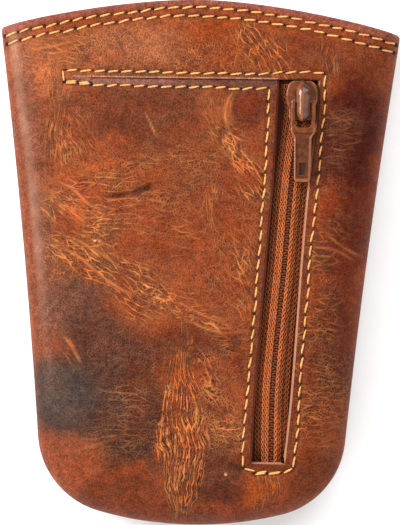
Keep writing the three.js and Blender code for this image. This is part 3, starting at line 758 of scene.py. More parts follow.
def paint_relief():
    """Small heights of the front panel, and where needle holes and seams pull it in; these two also set its
    painted shade.
    """
    grooves, dimples = Strokes(), Strokes()
    for line in stitch_lines:
        grooves.add(line, 1.1, 1.0, taper=False)
    for x, y in np.vstack(front_holes):
        dimples.add(np.array([(x - 0.05, y), (x + 0.05, y)]), 0.55, 1.0, taper=False)
    grooves, dimples = grooves.drawn(), dimples.drawn()
    height = 0.26 * blurred(crease_canvas, 0.3) - 0.24 * blurred(crease_canvas, 1.6)
    height += 0.16 * soft_noise(11) + 0.07 * soft_noise(4) + 0.03 * soft_noise(1.5)
    for name, direction, wide, stretch, *_ in NETS[::2]:  # the wide cells of each net
        ridges = veins(canvas_x, canvas_y, direction, stretch * wide, 1.3 * wide)
        height += 0.10 * net_canvases[name] * (blurred(ridges, 0.4) - 0.4)
    height -= 0.35 * score_canvas + 0.2 * grooves + 0.3 * dimples
    below_hem = canvas_y - mouth_line(canvas_x) + HEM_DEPTH
    height += 0.25 * smooth(below_hem / 1.6)  # the turned layer under the hem lifts it
    return height, dimples, grooves


relief_canvas, needle_hole_shade_canvas, stitch_groove_shade_canvas = paint_relief()

EDGE_ROUND = 0.26
FAR = 9.0  # stands for any distance at which an edge has no effect
# How far the leather lies below the slit's edge, at distances from the slit.
SLIT_STEP_AT = (0.0, 0.05, 0.16, 0.3, 0.5, 1.2, 3.0)
SLIT_STEP_DROP = (0.0, 0.7, 0.6, 0.5, 0.42, 0.36, 0.0)


def front_relief(x, y):
    """What is added to the front panel's level, with the edges of its cut rounded off."""
    in_rows = (y < WINDOW_TOP + 0.01) & (y > WINDOW_BOTTOM - 0.01)
    by_side = np.where(in_rows, np.where(x < BETWEEN_SIDES, window_left(y) - x, x - window_right(y)), FAR)
    over = (x > window_left(y) - 0.01) & (x < window_right(y) + 0.01)
    by_end = np.where(over, np.where(y > 0, y - WINDOW_TOP, WINDOW_BOTTOM - y), FAR)
    drop = round_off(np.minimum(np.abs(by_side), np.abs(by_end)), EDGE_ROUND)
    # Below the slit the leather starts in a crevice, and rises again to its stitches.
    across = np.where(x < BETWEEN_SIDES, smooth((x - SLIT_START + 0.6) / 1.6), 0)
    drop += across * np.interp(slit_line(x) - y, SLIT_STEP_AT, SLIT_STEP_DROP)
    return sample(relief_canvas, x, y) - drop


def back_relief(x, y):
    """The back is a little hollow, and pulled in along its hem, so that its stitches clear the floor."""
    below = mouth_line(x) - y
    hem = 0.42 * smooth((below - 0.8) / 0.7) * smooth((5.4 - below) / 0.8)
    return 0.05 * np.sin(x * 0.31 + 1.3) * np.sin(y * 0.23) - 0.1 - hem


def surface_at(face, x, y):
    """Points of a panel's finished outside, small relief and all, and the way it faces."""
    point, normal = skin(face, x, y)
    lift = front_relief(x, y) if face == "front" else back_relief(x, y)
    return point + normal * (lift * smooth(inset(x, y)[0] / 3))[..., None], normal


# ---------- grids that follow the outline and the pocket's cut ----------

fine_steps = np.linspace(0, 1, 600)
PLAN_AT = np.linspace(0, 1, 160)


def crossings(gaps):
    """How far along each row of steps a gap closes."""
    return [np.interp(0, gap, fine_steps) for gap in gaps]


# Where the window's sides, its foot and the slit lie on the panel's plan.
grid_x, grid_y = plan(fine_steps[None], PLAN_AT[:, None])
SIDES = [crossings(grid_x - edge(grid_y)) for edge in (window_left, window_right)]
grid_x, grid_y = plan(PLAN_AT[:, None], fine_steps[None])
ENDS = [crossings(grid_y - level) for level in (WINDOW_BOTTOM, slit_line(grid_x))]
U_LEFT, U_RIGHT = (float(np.interp(0.5, PLAN_AT, side)) for side in SIDES)
V_BOTTOM, V_TOP = (float(np.interp(0.5, PLAN_AT, end)) for end in ENDS)


def stretched(s, low, high, at_low, at_high):
    """0 to 1 stretched evenly in three parts, so that low and high come to lie elsewhere."""
    between = at_low + (s - low) / (high - low) * (at_high - at_low)
    above = at_high + (s - high) / (1 - high) * (1 - at_high)
    return np.where(s < low, s / low * at_low, np.where(s < high, between, above))


def fitted(s, t):
    """Plan coordinates for grid coordinates, so that set columns and rows follow the cut."""
    v = t
    for _ in range(5):
        u = stretched(s, U_LEFT, U_RIGHT, *(np.interp(v, PLAN_AT, side) for side in SIDES))
        v = stretched(t, V_BOTTOM, V_TOP, *(np.interp(u, PLAN_AT, end) for end in ENDS))
    return u, v


def rolled_steps(roll, span, cell):
    """Fractions of a span across a panel's roll, evenly spaced over its curve."""
    count = int(1.4 * roll / cell)
    return roll * (1 - np.cos(np.arange(count) / count * pi / 2)) / span


def level_steps(start, end, span, cell, fine_start=False, fine_end=False):
    """Fractions from start to end, with close steps by an edge that is cut."""
    close = np.array([0.0, 0.07, 0.16, 0.28, 0.44]) / span
    first = start + close if fine_start else np.array([start])
    last = (end - close)[::-1] if fine_end else np.array([end])
    count = max(2, int(round((last[0] - first[-1]) * span / cell)))
    return np.concatenate([first, np.linspace(first[-1], last[0], count + 1)[1:-1], last])


def panel_grid(windowed, roll, cell, v_mouth):
    """A panel's columns and rows as fractions, close together by the window's edges."""
    span_x, span_y = 2 * float(side_half_width(0)), 2 * HALF_LENGTH
    rolled_x, rolled_y = rolled_steps(roll, span_x, cell), rolled_steps(roll, span_y, cell)
    start_x, start_y = roll / span_x, roll / span_y
    if not windowed:
        columns = [level_steps(start_x, 1 - start_x, span_x, cell)]
        rows = [level_steps(start_y, v_mouth, span_y, cell)]
    else:
        columns = [
            level_steps(start_x, U_LEFT, span_x, cell, fine_end=True),
            np.linspace(U_LEFT, U_RIGHT, WINDOW_COLUMNS + 1)[1:-1],
            level_steps(U_RIGHT, 1 - start_x, span_x, cell, fine_start=True),
        ]
        rows = [
            level_steps(start_y, V_BOTTOM, span_y, cell, fine_end=True),
            level_steps(V_BOTTOM, V_TOP, span_y, cell, fine_start=True, fine_end=True)[1:],
            level_steps(V_TOP, v_mouth, span_y, cell, fine_start=True)[1:],
        ]
    return np.concatenate([rolled_x, *columns, (1 - rolled_x)[::-1]]), np.concatenate([rolled_y, *rows])


def mouth_layers(edge, facing):
    """Rows over the fold at the mouth and down the layer that is turned in."""
    fold = HEM_THICKNESS / 2
    x = edge[:, 0]
    slope = MOUTH_DROP * MOUTH_POWER / MOUTH_DROP_AT * (np.abs(x) / MOUTH_DROP_AT) ** (MOUTH_POWER - 1)
    slope = slope * np.sign(x)
    ahead = unit(np.stack([slope, np.ones_like(x), np.zeros_like(x)], axis=1))
    bends = np.linspace(0, pi, 9)[1:, None, None]
    turned = np.linspace(0, HEM_DEPTH - fold, 7)[1:, None, None]
    over = edge + ahead * fold * np.sin(bends) - facing * fold * (1 - np.cos(bends))
    return over, edge - ahead * turned - facing * HEM_THICKNESS


LEATHER, INSIDE, CUT = range(3)  # a panel's material slots
INNER_ROWS, WINDOW_COLUMNS = 34, 8
MEAN_LENGTH = 2 * HALF_LENGTH - 6  # of the case, between its middle and its corners
LEFT_SLANT, RIGHT_SLANT, FOOT_SLANT = 0.35, 0.5, 0.45  # how far the cut leans in at the window


def make_panel(face, cell, materials):
    """A leather panel: its outside, the hem turned in at the mouth, its inside and its raw edges.

    The grid has one set of columns. Its rows go up the outside, over the mouth's fold, down the
    turned layer and down the inside.
    """
    windowed = face == "front"
    roll = FRONT_ROLL if windowed else BACK_ROLL
    columns, rows = panel_grid(windowed, roll, cell, 1 - HEM_THICKNESS / 2 / MEAN_LENGTH)

    def place(v_rows):
        s, t = np.meshgrid(columns, v_rows)
        return plan(*(fitted(s, t) if windowed else (s, t)))

    x, y = place(rows)
    point, normal = surface_at(face, x, y)
    depth, out_x, out_y = inset(x, y)
    # The seam between the panels is drawn in a little.
    seam = 0.45 * np.exp(-((point[..., 2] - SEAM) ** 2) / 0.5) * (depth < roll)
    point[..., 0] -= out_x * seam
    point[..., 1] -= out_y * seam * (y < MOUTH_CORNER_Y - 8)
    # The inside starts at the turned layer's raw edge.
    inner_v = np.linspace(1 - HEM_DEPTH / (2 * HALF_LENGTH) - 0.002, 0, INNER_ROWS)
    if windowed:
        inner_v = np.sort(np.append(inner_v, [V_BOTTOM, V_TOP]))[::-1]
    inner_point, inner_normal = skin(face, *place(inner_v))
    inner_point -= inner_normal * WALL
    grid = np.concatenate([point, *mouth_layers(point[-1], normal[-1]), inner_point])
    number = np.arange(grid.size // 3).reshape(grid.shape[:2])
    out_rows, first_inner = len(rows), len(grid) - len(inner_v)
    outer, inner = number[:out_rows], number[:first_inner - 1:-1]
    in_window = np.zeros(number.shape, bool)
    if windowed:
        left, right = (int(np.argmin(abs(columns - u))) for u in (U_LEFT, U_RIGHT))
        low, high = (int(np.argmin(abs(rows - v))) for v in (V_BOTTOM, V_TOP))
        inner_low, inner_high = (int(np.argmin(abs(inner_v[::-1] - v))) for v in (V_BOTTOM, V_TOP))
        in_window[low:high, left:right] = True
        in_window[len(grid) - 1 - inner_high:len(grid) - 1 - inner_low, left:right] = True
    faces, kinds = [], []

    def add_face(corners, kind):
        faces.append([int(k) for k in (corners if windowed else corners[::-1])])
        kinds.append(kind)

    for r in range(len(grid) - 1):
        kind = LEATHER if r < first_inner - 1 else CUT if r == first_inner - 1 else INSIDE
        for c in np.flatnonzero(~in_window[r, :-1]):
            add_face([number[r, c], number[r, c + 1], number[r + 1, c + 1], number[r + 1, c]], kind)

    def bridge(near, far, turn):
        """Cut faces between two lines of points, of which far may have fewer."""
        nearest = [far[round(k * (len(far) - 1) / (len(near) - 1))] for k in range(len(near))]
        for k, (a, b) in enumerate(zip(nearest, nearest[1:])):
            corners = [near[k], near[k + 1], b] + [a] * int(a != b)
            add_face(corners[::-1] if turn else corners, CUT)

    for side, turn in ((0, False), (-1, True)):
        bridge(outer[:, side], inner[:, side], turn)
        loop = number[out_rows - 1:first_inner + 1, side]
        add_face(list(loop if turn else loop[::-1]), CUT)
    bridge(outer[0], inner[0], True)
    if windowed:
        for column, turn in ((left, True), (right, False)):
            bridge(outer[low:high + 1, column], inner[inner_low:inner_high + 1, column], turn)
        for row, inner_row, turn in ((high, inner_high, True), (low, inner_low, False)):
            bridge(outer[row, left:right + 1], inner[inner_row, left:right + 1], turn)
    piece = make_object(f"{face}_leather", grid.reshape(-1, 3), faces, materials, kinds)
    if windowed:
        slant_raw_edge(piece)
    with reworked(piece.data) as mesh:  # drops the points that no face uses
        bmesh.ops.delete(mesh, geom=[v for v in mesh.verts if not v.link_faces], context="VERTS")
    piece.data.set_sharp_from_angle(angle=radians(50))
    return piece


def slant_raw_edge(piece):
    """Moves the window's lower rim a little into the cut, so that its raw edge shows from above."""
    co = point_array(piece)
    x, y, z = co.T
    inside = (z < CROWN - 1.2) & (z > SEAM + 3)
    in_rows = (y > WINDOW_BOTTOM - 0.3) & (y < WINDOW_TOP + 0.4) & inside
    at_left = in_rows & (np.abs(x - window_left(y)) < 0.05)
    at_right = in_rows & (np.abs(x - window_right(y)) < 0.05)
    co[at_left, 0] += LEFT_SLANT
    co[at_right, 0] -= RIGHT_SLANT
    over = (x > window_left(y) - 0.05) & (x < window_right(y) + 0.05) & inside
    co[over & (np.abs(y - WINDOW_BOTTOM) < 0.05), 1] += FOOT_SLANT
    piece.data.vertices.foreach_set("co", (co * MM).ravel())


# ---------- materials ----------


class Value:
    """A socket that holds a material's value, for sums written as they are read."""

    def __init__(self, shader, socket):
        self.shader, self.socket = shader, socket

    def __add__(self, other):
        return self.shader.maths("ADD", self, other)

    def __sub__(self, other):
        return self.shader.maths("SUBTRACT", self, other)

    def __rsub__(self, other):
        return self.shader.maths("SUBTRACT", other, self)

    def __mul__(self, other):
        return self.shader.maths("MULTIPLY", self, other)

    def __truediv__(self, other):
        return self.shader.maths("DIVIDE", self, other)

    def or_more(self, other):
        return self.shader.maths("MAXIMUM", self, other)

    def up_to_one(self):
        return self.shader.maths("MINIMUM", self, 1.0)


class Shader:
    """A material's nodes, made one call at a time."""

    def __init__(self, name):
        self.material = bpy.data.materials.new(name)
        self.material.use_nodes = True
        self.tree = self.material.node_tree
        self.tree.nodes.clear()
        # The place of a shaded point in millimetres
        self.place = self.vector("SCALE", self.node("TexCoord", "Object"), Scale=1 / MM)

    def node(self, kind, output=0, settings=(), numbered=(), **inputs):
        """An output of a new node, None for the last one, which has none. Its inputs are given by
        number or by name."""
        node = self.tree.nodes.new("ShaderNode" + kind)
        for name, value in dict(settings).items():
            setattr(node, name, value)
        named = {name.replace("_", " "): value for name, value in inputs.items()}
        for key, value in {**dict(numbered), **named}.items():
            if isinstance(value, Value):
                self.tree.links.new(value.socket, node.inputs[key])
            else:
                node.inputs[key].default_value = value
        return None if output is None else Value(self, node.outputs[output])

    def maths(self, operation, first, second):
        return self.node("Math", 0, {"operation": operation}, enumerate((first, second)))

    def vector(self, operation, first, second=(0, 0, 0), output="Vector", **inputs):
        settings = {"operation": operation}
        return self.node("VectorMath", output, settings, enumerate((first, second)), **inputs)

    def dot(self, first, second):
        return self.vector("DOT_PRODUCT", first, second, "Value")

    def noise(self, scale, detail=3.0, roughness=0.55, output="Fac"):
        inputs = {"Scale": scale, "Detail": detail, "Roughness": roughness, "Vector": self.place}
        return self.node("TexNoise", output, **inputs)

    def cells(self, scale, feature="F1", place=None, flat=False):
        """The way to the nearest centre or border of Voronoi cells."""
        settings = {"feature": feature, "voronoi_dimensions": "2D" if flat else "3D"}
        return self.node("TexVoronoi", "Distance", settings, Scale=scale, Vector=place or self.place)

    def cell_centre(self, feature, place):
        """Where the first or second nearest centre of flat cells is, and the cell's own value."""
        settings = {"feature": feature, "voronoi_dimensions": "2D"}
        inputs = {"Scale": 1.0, "Randomness": 0.9, "Vector": place}
        centre = self.node("TexVoronoi", "Position", settings, **inputs)
        colour = Value(self, centre.socket.node.outputs["Color"])
        return centre, self.node("SeparateColor", "Red", Color=colour)

    def remap(self, value, low, high, to_low=0.0, to_high=1.0):
        ends = {"From_Min": low, "From_Max": high, "To_Min": to_low, "To_Max": to_high}
        return self.node("MapRange", Value=value, **ends)

    def mix(self, factor, first, second, blend_type="MIX"):
        """Two colours mixed. A colour written out is given as it looks."""
        first, second = (
            (*linear(colour) * LIGHT_MATCH, 1.0) if isinstance(colour, tuple) else colour
            for colour in (first, second)
        )
        settings = {"data_type": "RGBA", "blend_type": blend_type}
        return self.node("Mix", 2, settings, {0: factor, 6: first, 7: second})

    def dimmed(self, colour, amount):
        """A colour times a value."""
        return self.mix(1.0, colour, self.grey(amount), "MULTIPLY")

    def grey(self, amount):
        return self.node("CombineColor", Red=amount, Green=amount, Blue=amount)

    def attribute(self, name, output="Fac"):
        return self.node("Attribute", output, {"attribute_name": name})

    def finish(self, colour, roughness, height, depth, **others):
        """The finished material. height is its fine relief, depth millimetres high."""
        bump = self.node("Bump", Height=height, Distance=depth * MM, Strength=1.0)
        inputs = {"Base_Color": colour, "Roughness": roughness, "Normal": bump, **others}
        self.node("OutputMaterial", None, Surface=self.node("BsdfPrincipled", **inputs))
        return self.material


def crease_lines(m, bent, direction, wide, stretch, half_width):
    """Lines along the borders of long cells, from 0 to 1, the painted shadow beside them, and a value for
    each cell. The lines are finest where a border runs across the cells."""
    t = radians(direction)
    along_it, across = 1 / (stretch * wide), 1 / wide
    run = m.dot(bent, (along_it * cos(t), along_it * sin(t), 0))
    cross = m.dot(bent, (-across * sin(t), across * cos(t), 0))
    place = m.node("CombineXYZ", X=run, Y=cross)
    nearest, value = m.cell_centre("F1", place)
    second, _ = m.cell_centre("F2", place)
    between = m.vector("SUBTRACT", second, nearest)
    middle = m.vector("SCALE", m.vector("ADD", second, nearest), Scale=0.5)
    gap = m.dot(m.vector("SUBTRACT", middle, place), between)
    slope = m.vector("MULTIPLY", between, (along_it, across, 0))
    steepness = m.vector("LENGTH", slope, output="Value")
    sideways = m.maths("ABSOLUTE", m.dot(slope, (0, 1, 0)), 0.0)
    reach = m.remap(sideways / steepness, 0.3, 0.9, 0.3, 1.0) * half_width
    inside = 1.0 - gap / steepness / reach
    return m.remap(inside, 0.0, 0.6), m.remap(inside, -1.5, -0.2), value


def fine_net(m, bent):
    """Small meshes with no direction, as on leather that has been crumpled."""
    cells = m.cells(1 / FINE_NET_SIZE, "DISTANCE_TO_EDGE", bent, flat=True)
    broken = m.remap(m.noise(0.8), 0.40, 0.60, 0.05, 1.0)
    return m.remap(cells, 0.02, 0.24, 1.0, 0.0) * broken * m.attribute(FINE_NET)


def leather_material(name):
    """Waxed pull-up leather: painted tones, nets of creases worn to a lighter core, and grain."""
    m = Shader(name)
    bent = m.attribute("flat", "Vector")
    for scale, detail, reach in ((0.12, 1.0, 4.0), (0.9, 3.0, 0.6)):
        sway = m.vector("SUBTRACT", m.noise(scale, detail, 0.5, "Color"), (0.5, 0.5, 0.5))
        bent = m.vector("ADD", bent, m.vector("SCALE", sway, Scale=reach))
    lines = fine_net(m, bent)
    cover = m.attribute(FINE_NET)
    worn = m.noise(0.5, 2.0, 0.6)
    shades = 1.0
    for net, direction, wide, stretch, thickness, brightness in NETS:
        half_width = m.remap(worn, 0.3, 0.7, 0.15 * thickness, 0.36 * thickness)
        net_lines, shade, pads = crease_lines(m, bent, direction, wide, stretch, half_width)
        strength = m.attribute(net)
        shown = m.remap(worn, 0.36, 0.56, 0.25 * brightness, brightness) * strength
        lines = lines.or_more((net_lines * shown).up_to_one())
        cover = cover.or_more(strength)
        # A painted shadow beside each crease line.
        beside = (shade * shown).up_to_one()
        shades = ((pads - 0.6) * (strength * 0.35) - beside * 0.36 + 1.0) * shades
    crease, painted = m.attribute("crease"), m.attribute("tone", "Color")
    mottle = m.remap(m.noise(0.55, 5.0, 0.75), 0.32, 0.68, 0.64, 1.32)
    pores = m.remap(m.noise(2.4, 4.0, 0.75), 0.38, 0.60, 0.46, 1.34)
    # Under the painted sheen on the left roll, creases and grain are muted.
    matt = m.remap(m.attribute("painted_sheen"), 0.0, 1.0, 1.0, 0.25)
    lines = lines.or_more(crease.up_to_one()) * matt
    grainy = (mottle * pores - 1.0) * matt + 1.0
    # Between its creases the leather keeps its dark wax, and beside each crease line a painted shadow
    # darkens it.
    wax_and_crease_shadow = m.remap(cover, 0.0, 1.0, 1.06, 0.70) * shades
    tone = m.mix(m.remap(cover, 0.1, 1.0, 0.0, 0.5), painted, (112, 68, 58))
    clouds = m.remap(m.noise(0.22, 3.0, 0.65), 0.46, 0.62, 0.0, 0.26)
    tone = m.dimmed(m.mix(clouds, tone, (120, 76, 58)), grainy * wax_and_crease_shadow)
    worn_tone = m.mix(m.remap(m.noise(0.16, 3.0, 0.6), 0.40, 0.56), (248, 138, 72), (255, 172, 96))
    pale = m.mix(0.6, m.dimmed(painted, 2.8), worn_tone)
    colour = m.mix(lines * 0.95, tone, pale)
    colour = m.mix(crease - 1.0, colour, (255, 236, 216))
    height = m.cells(2.3) * 0.4 + m.noise(5.0) * 0.4 + lines * 0.9
    roughness = m.remap(m.noise(0.9, 4.0), 0.3, 0.7, 0.38, 0.56)
    return m.finish(colour, roughness, height, 0.22, Specular_IOR_Level=0.07)


def flesh_material(name, colour, dark, scale):
    """The fibrous side and cut edges of leather."""
    m = Shader(name)
    fibres = m.noise(scale, 4.0, 0.7)
    tone = m.mix(m.remap(fibres, 0.32, 0.66), dark, colour)
    tone = m.mix(m.attribute("shaded"), tone, (150, 70, 32))
    return m.finish(tone, 0.82, fibres, 0.09, Specular_IOR_Level=0.25)


def thread_material(name, colour, shade):
    """Waxed sewing thread with its fibres, its brightness a little uneven."""
    m = Shader(name)
    fibres = m.noise(7.0, 3.0, 0.7)
    tone = m.mix(m.remap(fibres, 0.35, 0.62), shade, colour)
    tone = m.dimmed(tone, m.remap(m.noise(0.45, 2.0), 0.35, 0.65, 1.2, 1.55))
    tone = m.dimmed(tone, 1.0 - m.attribute("shaded"))
    return m.finish(tone, 0.62, fibres, 0.04, Specular_IOR_Level=0.08)


def woven_material(name, colour, shade):
    """Zip tape: fine ribs across and rows along."""
    m = Shader(name)
    ribs, rows = (
        m.node("TexWave", "Fac", {"bands_direction": way}, Scale=scale, Distortion=bend, Vector=m.place)
        for way, scale, bend in (("Y", 0.62, 0.6), ("X", 0.55, 0.5))
    )
    weave = ribs * (rows + 0.35)
    fuzz = m.noise(4.0, 3.0, 0.7)
    tone = m.mix(weave * fuzz, shade, colour)
    tone = m.dimmed(tone, m.remap(m.noise(0.5, 2.0), 0.35, 0.65, 0.8, 1.2))
    return m.finish(tone, 0.85, weave + fuzz, 0.08, Specular_IOR_Level=0.15)


def nylon_material(name, colour, shade):
    """The coil's monofilament: a slightly glossy plastic, darker in small random patches."""
    m = Shader(name)
    grime = m.noise(2.4, 3.0, 0.6)
    tone = m.mix(m.remap(grime, 0.35, 0.65), shade, colour)
    roughness = m.remap(grime, 0.3, 0.7, 0.34, 0.52)
    return m.finish(tone, roughness, m.noise(6.0, 2.0), 0.02, Specular_IOR_Level=0.12)


def lacquer_material(name, colour, shade, worn):
    """Baked lacquer over zinc: glossy, a little uneven, worn thin in places, with painted highlights and
    painted shade.
    """
    m = Shader(name)
    clouds = m.noise(0.8)
    tone = m.mix(m.remap(clouds, 0.35, 0.65), shade, colour)
    tone = m.dimmed(tone, m.remap(m.noise(5.0, 3.0, 0.6), 0.3, 0.7, 0.9, 1.08))
    # Lighter where worn and where highlights are painted, darker where shade is painted.
    tone = m.mix(m.attribute("wear_and_highlight") * 0.75, tone, worn)
    tone = m.dimmed(tone, 1.0 - m.attribute("painted_shade"))
    roughness = m.remap(m.noise(2.2, 5.0, 0.7), 0.56, 0.72) * 0.22 + 0.2
    gloss = {"Specular_IOR_Level": 0.35, "Coat_Weight": 0.2, "Coat_Roughness": 0.1}
    return m.finish(tone, roughness, clouds, 0.05, **gloss)


def floor_material():
    """A plain pale sweep with a barely visible matt tooth."""
    m = Shader("pale_floor")
    tone = m.grey(m.remap(m.noise(0.05), 0.3, 0.7, 0.93, 0.97))
    return m.finish(tone, 0.75, m.noise(1.2, 2.0), 0.03, Specular_IOR_Level=0.2)


FRONT_LEATHER = leather_material("front_leather_waxed")
BACK_LEATHER = leather_material("back_leather_waxed")
FLESH = flesh_material("leather_flesh_side", (150, 98, 66), (112, 70, 46), 2.2)
RAW_EDGE = flesh_material("leather_cut_edge", (244, 182, 140), (210, 124, 84), 3.4)
THREAD = thread_material("gold_thread", (255, 198, 128), (222, 146, 74))
BRAID_THREAD = thread_material("zip_sewing_thread", (228, 126, 70), (130, 60, 32))
TAPE = woven_material("zip_tape_weave", (150, 70, 34), (66, 28, 14))
NYLON = nylon_material("zip_coil_nylon", (160, 86, 50), (86, 42, 22))
# Its third colour is for worn places and painted highlights.
LACQUER = lacquer_material("slider_lacquer", (158, 84, 44), (108, 58, 32), (206, 124, 74))
# Near black: the needle holes' funnels are coloured as painted shade.
HOLE_SHADE = flesh_material("needle_hole_shade", (30, 15, 9), (13, 7, 5), 3.0)
FLOOR = floor_material()

# ---------- the two leather panels ----------


def unrolled(x, y, roll, rise):
    """Where a panel's points lie on its leather before its edges are rolled over."""
    depth, out_x, out_y = inset(x, y)
    angles = np.linspace(0, pi / 2, 200)
    curve = np.column_stack([roll * np.sin(angles), rise * (1 - np.cos(angles))])
    reach = curve[:, 0]
    extra = np.interp(np.clip(roll - depth, 0, roll), reach, lengths(curve) - reach)
    return np.stack([x + out_x * extra, y + out_y * extra, np.zeros_like(x)], axis=-1)


# How dark the slit's crevice is painted, as shade.
SLIT_CREVICE_SHADE = 0.45


def shade_front(front):
    """Gives the front panel its painted tones, painted shade and sheen, creases and wear."""
    x, y, _ = point_array(front).T
    tone = linear(sample(tone_canvas, x, y))
    tone = np.maximum(tone - SHEEN, 0.3 * tone) * WARMTH
    # Painted shade in the needle holes, the stitch grooves and the slit's crevice. The scores are dark
    # scratches.
    dark = sum(
        np.clip(sample(canvas, x, y), 0, 1) * strength
        for canvas, strength in ((needle_hole_shade_canvas, 0.85), (stitch_groove_shade_canvas, 0.16), (score_canvas, 0.8))
    )
    below = slit_line(x) - y
    in_slit = (below > 0.03) & (below < 0.25) & (x > SLIT_START - 0.6) & (x < window_left(y) + 0.1)
    dark = np.clip(np.where(in_slit, SLIT_CREVICE_SHADE, dark), 0, 0.9)[:, None]
    flat = unrolled(x, y, FRONT_ROLL, CROWN - SEAM)
    # The creases of the low bundle draw together at its ends.
    across, along_it = bundle_place(x, y)
    gathered = along_it * smooth((2.2 - np.abs(across)) / 0.9)
    flat[:, 0] += gathered * (4.6 * across - 2.3 - x)
    add_attribute(front, "tone", tone * (1 - dark) * LIGHT_MATCH)
    add_attribute(front, "crease", np.clip(sample(crease_canvas, x, y), 0, 2))
    add_attribute(front, "painted_sheen", np.clip(sample(painted_sheen_canvas, x, y), 0, 1))
    add_attribute(front, "shaded", 0.95 * (np.abs(x - window_left(y)) < 0.8) * (y < WINDOW_TOP))
    add_attribute(front, "flat", flat)
    for name, canvas in net_canvases.items():
        add_attribute(front, name, sample(canvas, x, y))


BACK_BROWN, BACK_TAN = (118, 64, 42), (172, 94, 54)


def shade_back(back):
    """Plainer leather for the back: the same tones in broad clouds, worn round its edges."""
    x, y, _ = point_array(back).T
    cloud = lattice_noise(x / 17 + 5, y / 17 + 9) + 0.5 * lattice_noise(x / 7 + 3, y / 7)
    brown, tan = smooth(-cloud)[:, None], smooth(cloud - 0.25)[:, None]
    tone = blend(blend(linear(LEATHER_BASE) * 0.9, linear(BACK_BROWN), brown), linear(BACK_TAN), tan)
    edge = smooth((BACK_ROLL - inset(x, y)[0]) / BACK_ROLL)
    add_attribute(back, "tone", tone * LIGHT_MATCH)
    add_attribute(back, "crease", np.zeros_like(x))
    add_attribute(back, "painted_sheen", np.zeros_like(x))
    add_attribute(back, "flat", unrolled(x, y, BACK_ROLL, SEAM))
    for number, name in enumerate(NET_NAMES):
        patch = smooth(1.6 * lattice_noise(x / 15 + 37 * number, y / 15 + 11))
        add_attribute(back, name, 0.12 + 0.5 * patch + (0.3 * edge if name == FINE_NET else 0))


FRONT_CELL, BACK_CELL = 0.385, 0.62  # the grids' spacing, in millimetres
front = make_panel("front", FRONT_CELL, (FRONT_LEATHER, FLESH, RAW_EDGE))
back = make_panel("back", BACK_CELL, (BACK_LEATHER, FLESH, RAW_EDGE))
shade_front(front)
shade_back(back)
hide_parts("front_panel")
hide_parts("back_panel")

# ---------- threads ----------

STITCH_RADIUS = 0.23
UPRIGHT_ROWS = (5, 7)  # the rows along the zip's sides
# A needle hole is a funnel with a puckered lip, coloured near black as painted shade: radii and heights
# from its skirt to its middle.
HOLE_PROFILE = ((1.25, -0.1), (1.1, 0.15), (0.9, 0.2), (0.5, 0.15), (0.1, 0.08))


def sew(threads, marks, face, row, lean, bow=0.0):
    """Stitches between the holes of a row. lean moves each stitch's ends apart sideways, and bow
    its middle."""
    for a, b in zip(row, row[1:]):
        side = unit(np.array([a[1] - b[1], b[0] - a[0]]))
        s = np.linspace(0.1, 0.9, 15)
        middle = s - 0.5
        line = a + (b - a) * s[:, None] + side * (lean * middle)[:, None]
        line += side * (random.normal(0, 0.06) + bow * (0.25 - middle**2) * 4)[:, None]
        point, normal = surface_at(face, *line.T)
        # Near its ends the thread dives into its holes.
        rise = 0.16 - 0.62 * np.abs(middle / 0.4) ** 12 + random.normal(0, 0.015)
        radius = STITCH_RADIUS * (1 - 0.45 * np.abs(middle / 0.4) ** 3)
        threads.tube(point + normal * rise[:, None], radius, 10, 0.13, random.uniform(1.2, 1.7), 0.85)
    for point, normal in zip(*surface_at(face, *row.T)):
        radius = random.uniform(0.40, 0.50)
        first = unit(np.cross(normal, (0.0, 1.0, 0.0)))
        t = np.arange(10)[:, None] / 10 * 2 * pi
        circle = (first * np.cos(t) + np.cross(normal, first) * np.sin(t)) * radius
        rings = [point + circle * reach + normal * height for reach, height in HOLE_PROFILE]
        marks.loft(rings, ends=(False, True))


def make_stitches():
    front_threads, back_threads, marks = Gathered(), Gathered(), Gathered()
    for number, row in enumerate(front_holes):
        lean, bow = (-0.42, 0.12) if number in UPRIGHT_ROWS else (0.5, 0.0)
        sew(front_threads, marks, "front", row, lean, bow)
    for row in front_holes[:len(HEM_ROWS)]:
        sew(back_threads, marks, "back", row[1:-1], 0.2)
    pieces = [
        front_threads.made("front_stitches", THREAD), back_threads.made("back_hem_stitches", THREAD),
        marks.made("needle_hole_shade", HOLE_SHADE),
    ]
    return pieces


stitches = make_stitches()

# ---------- the zip ----------

COIL_PITCH = 1.25
COIL_START, COIL_END = -49.5, 43.5
DIP_START, DIP_END = -41.5, -46.8
SPLIT_START, SPLIT_END, SPLIT_GAP = 36.5, 41.2, 1.1
TAPE_HALF, TAPE_DEPTH = 10.0, 0.5
RIB_PITCH, CORD_REACH = 0.8, 3.6
FILAMENT_RADIUS, TURN_POINTS = 0.27, 14


def chain_place(side, y, reach, height):
    """A point of the chain: reach from its closed middle out to one side, height over the tapes.

    The halves part inside the slider, and the chain dips under the window's lower end.
    """
    gap = SPLIT_GAP * smooth((y - SPLIT_START) / (SPLIT_END - SPLIT_START))
    dip = (COIL_HEIGHT + 0.3) * smooth((DIP_START - y) / (DIP_START - DIP_END))
    return np.stack([zip_middle(y) + side * (gap + reach), y, TAPE_LEVEL - dip + height], axis=-1)


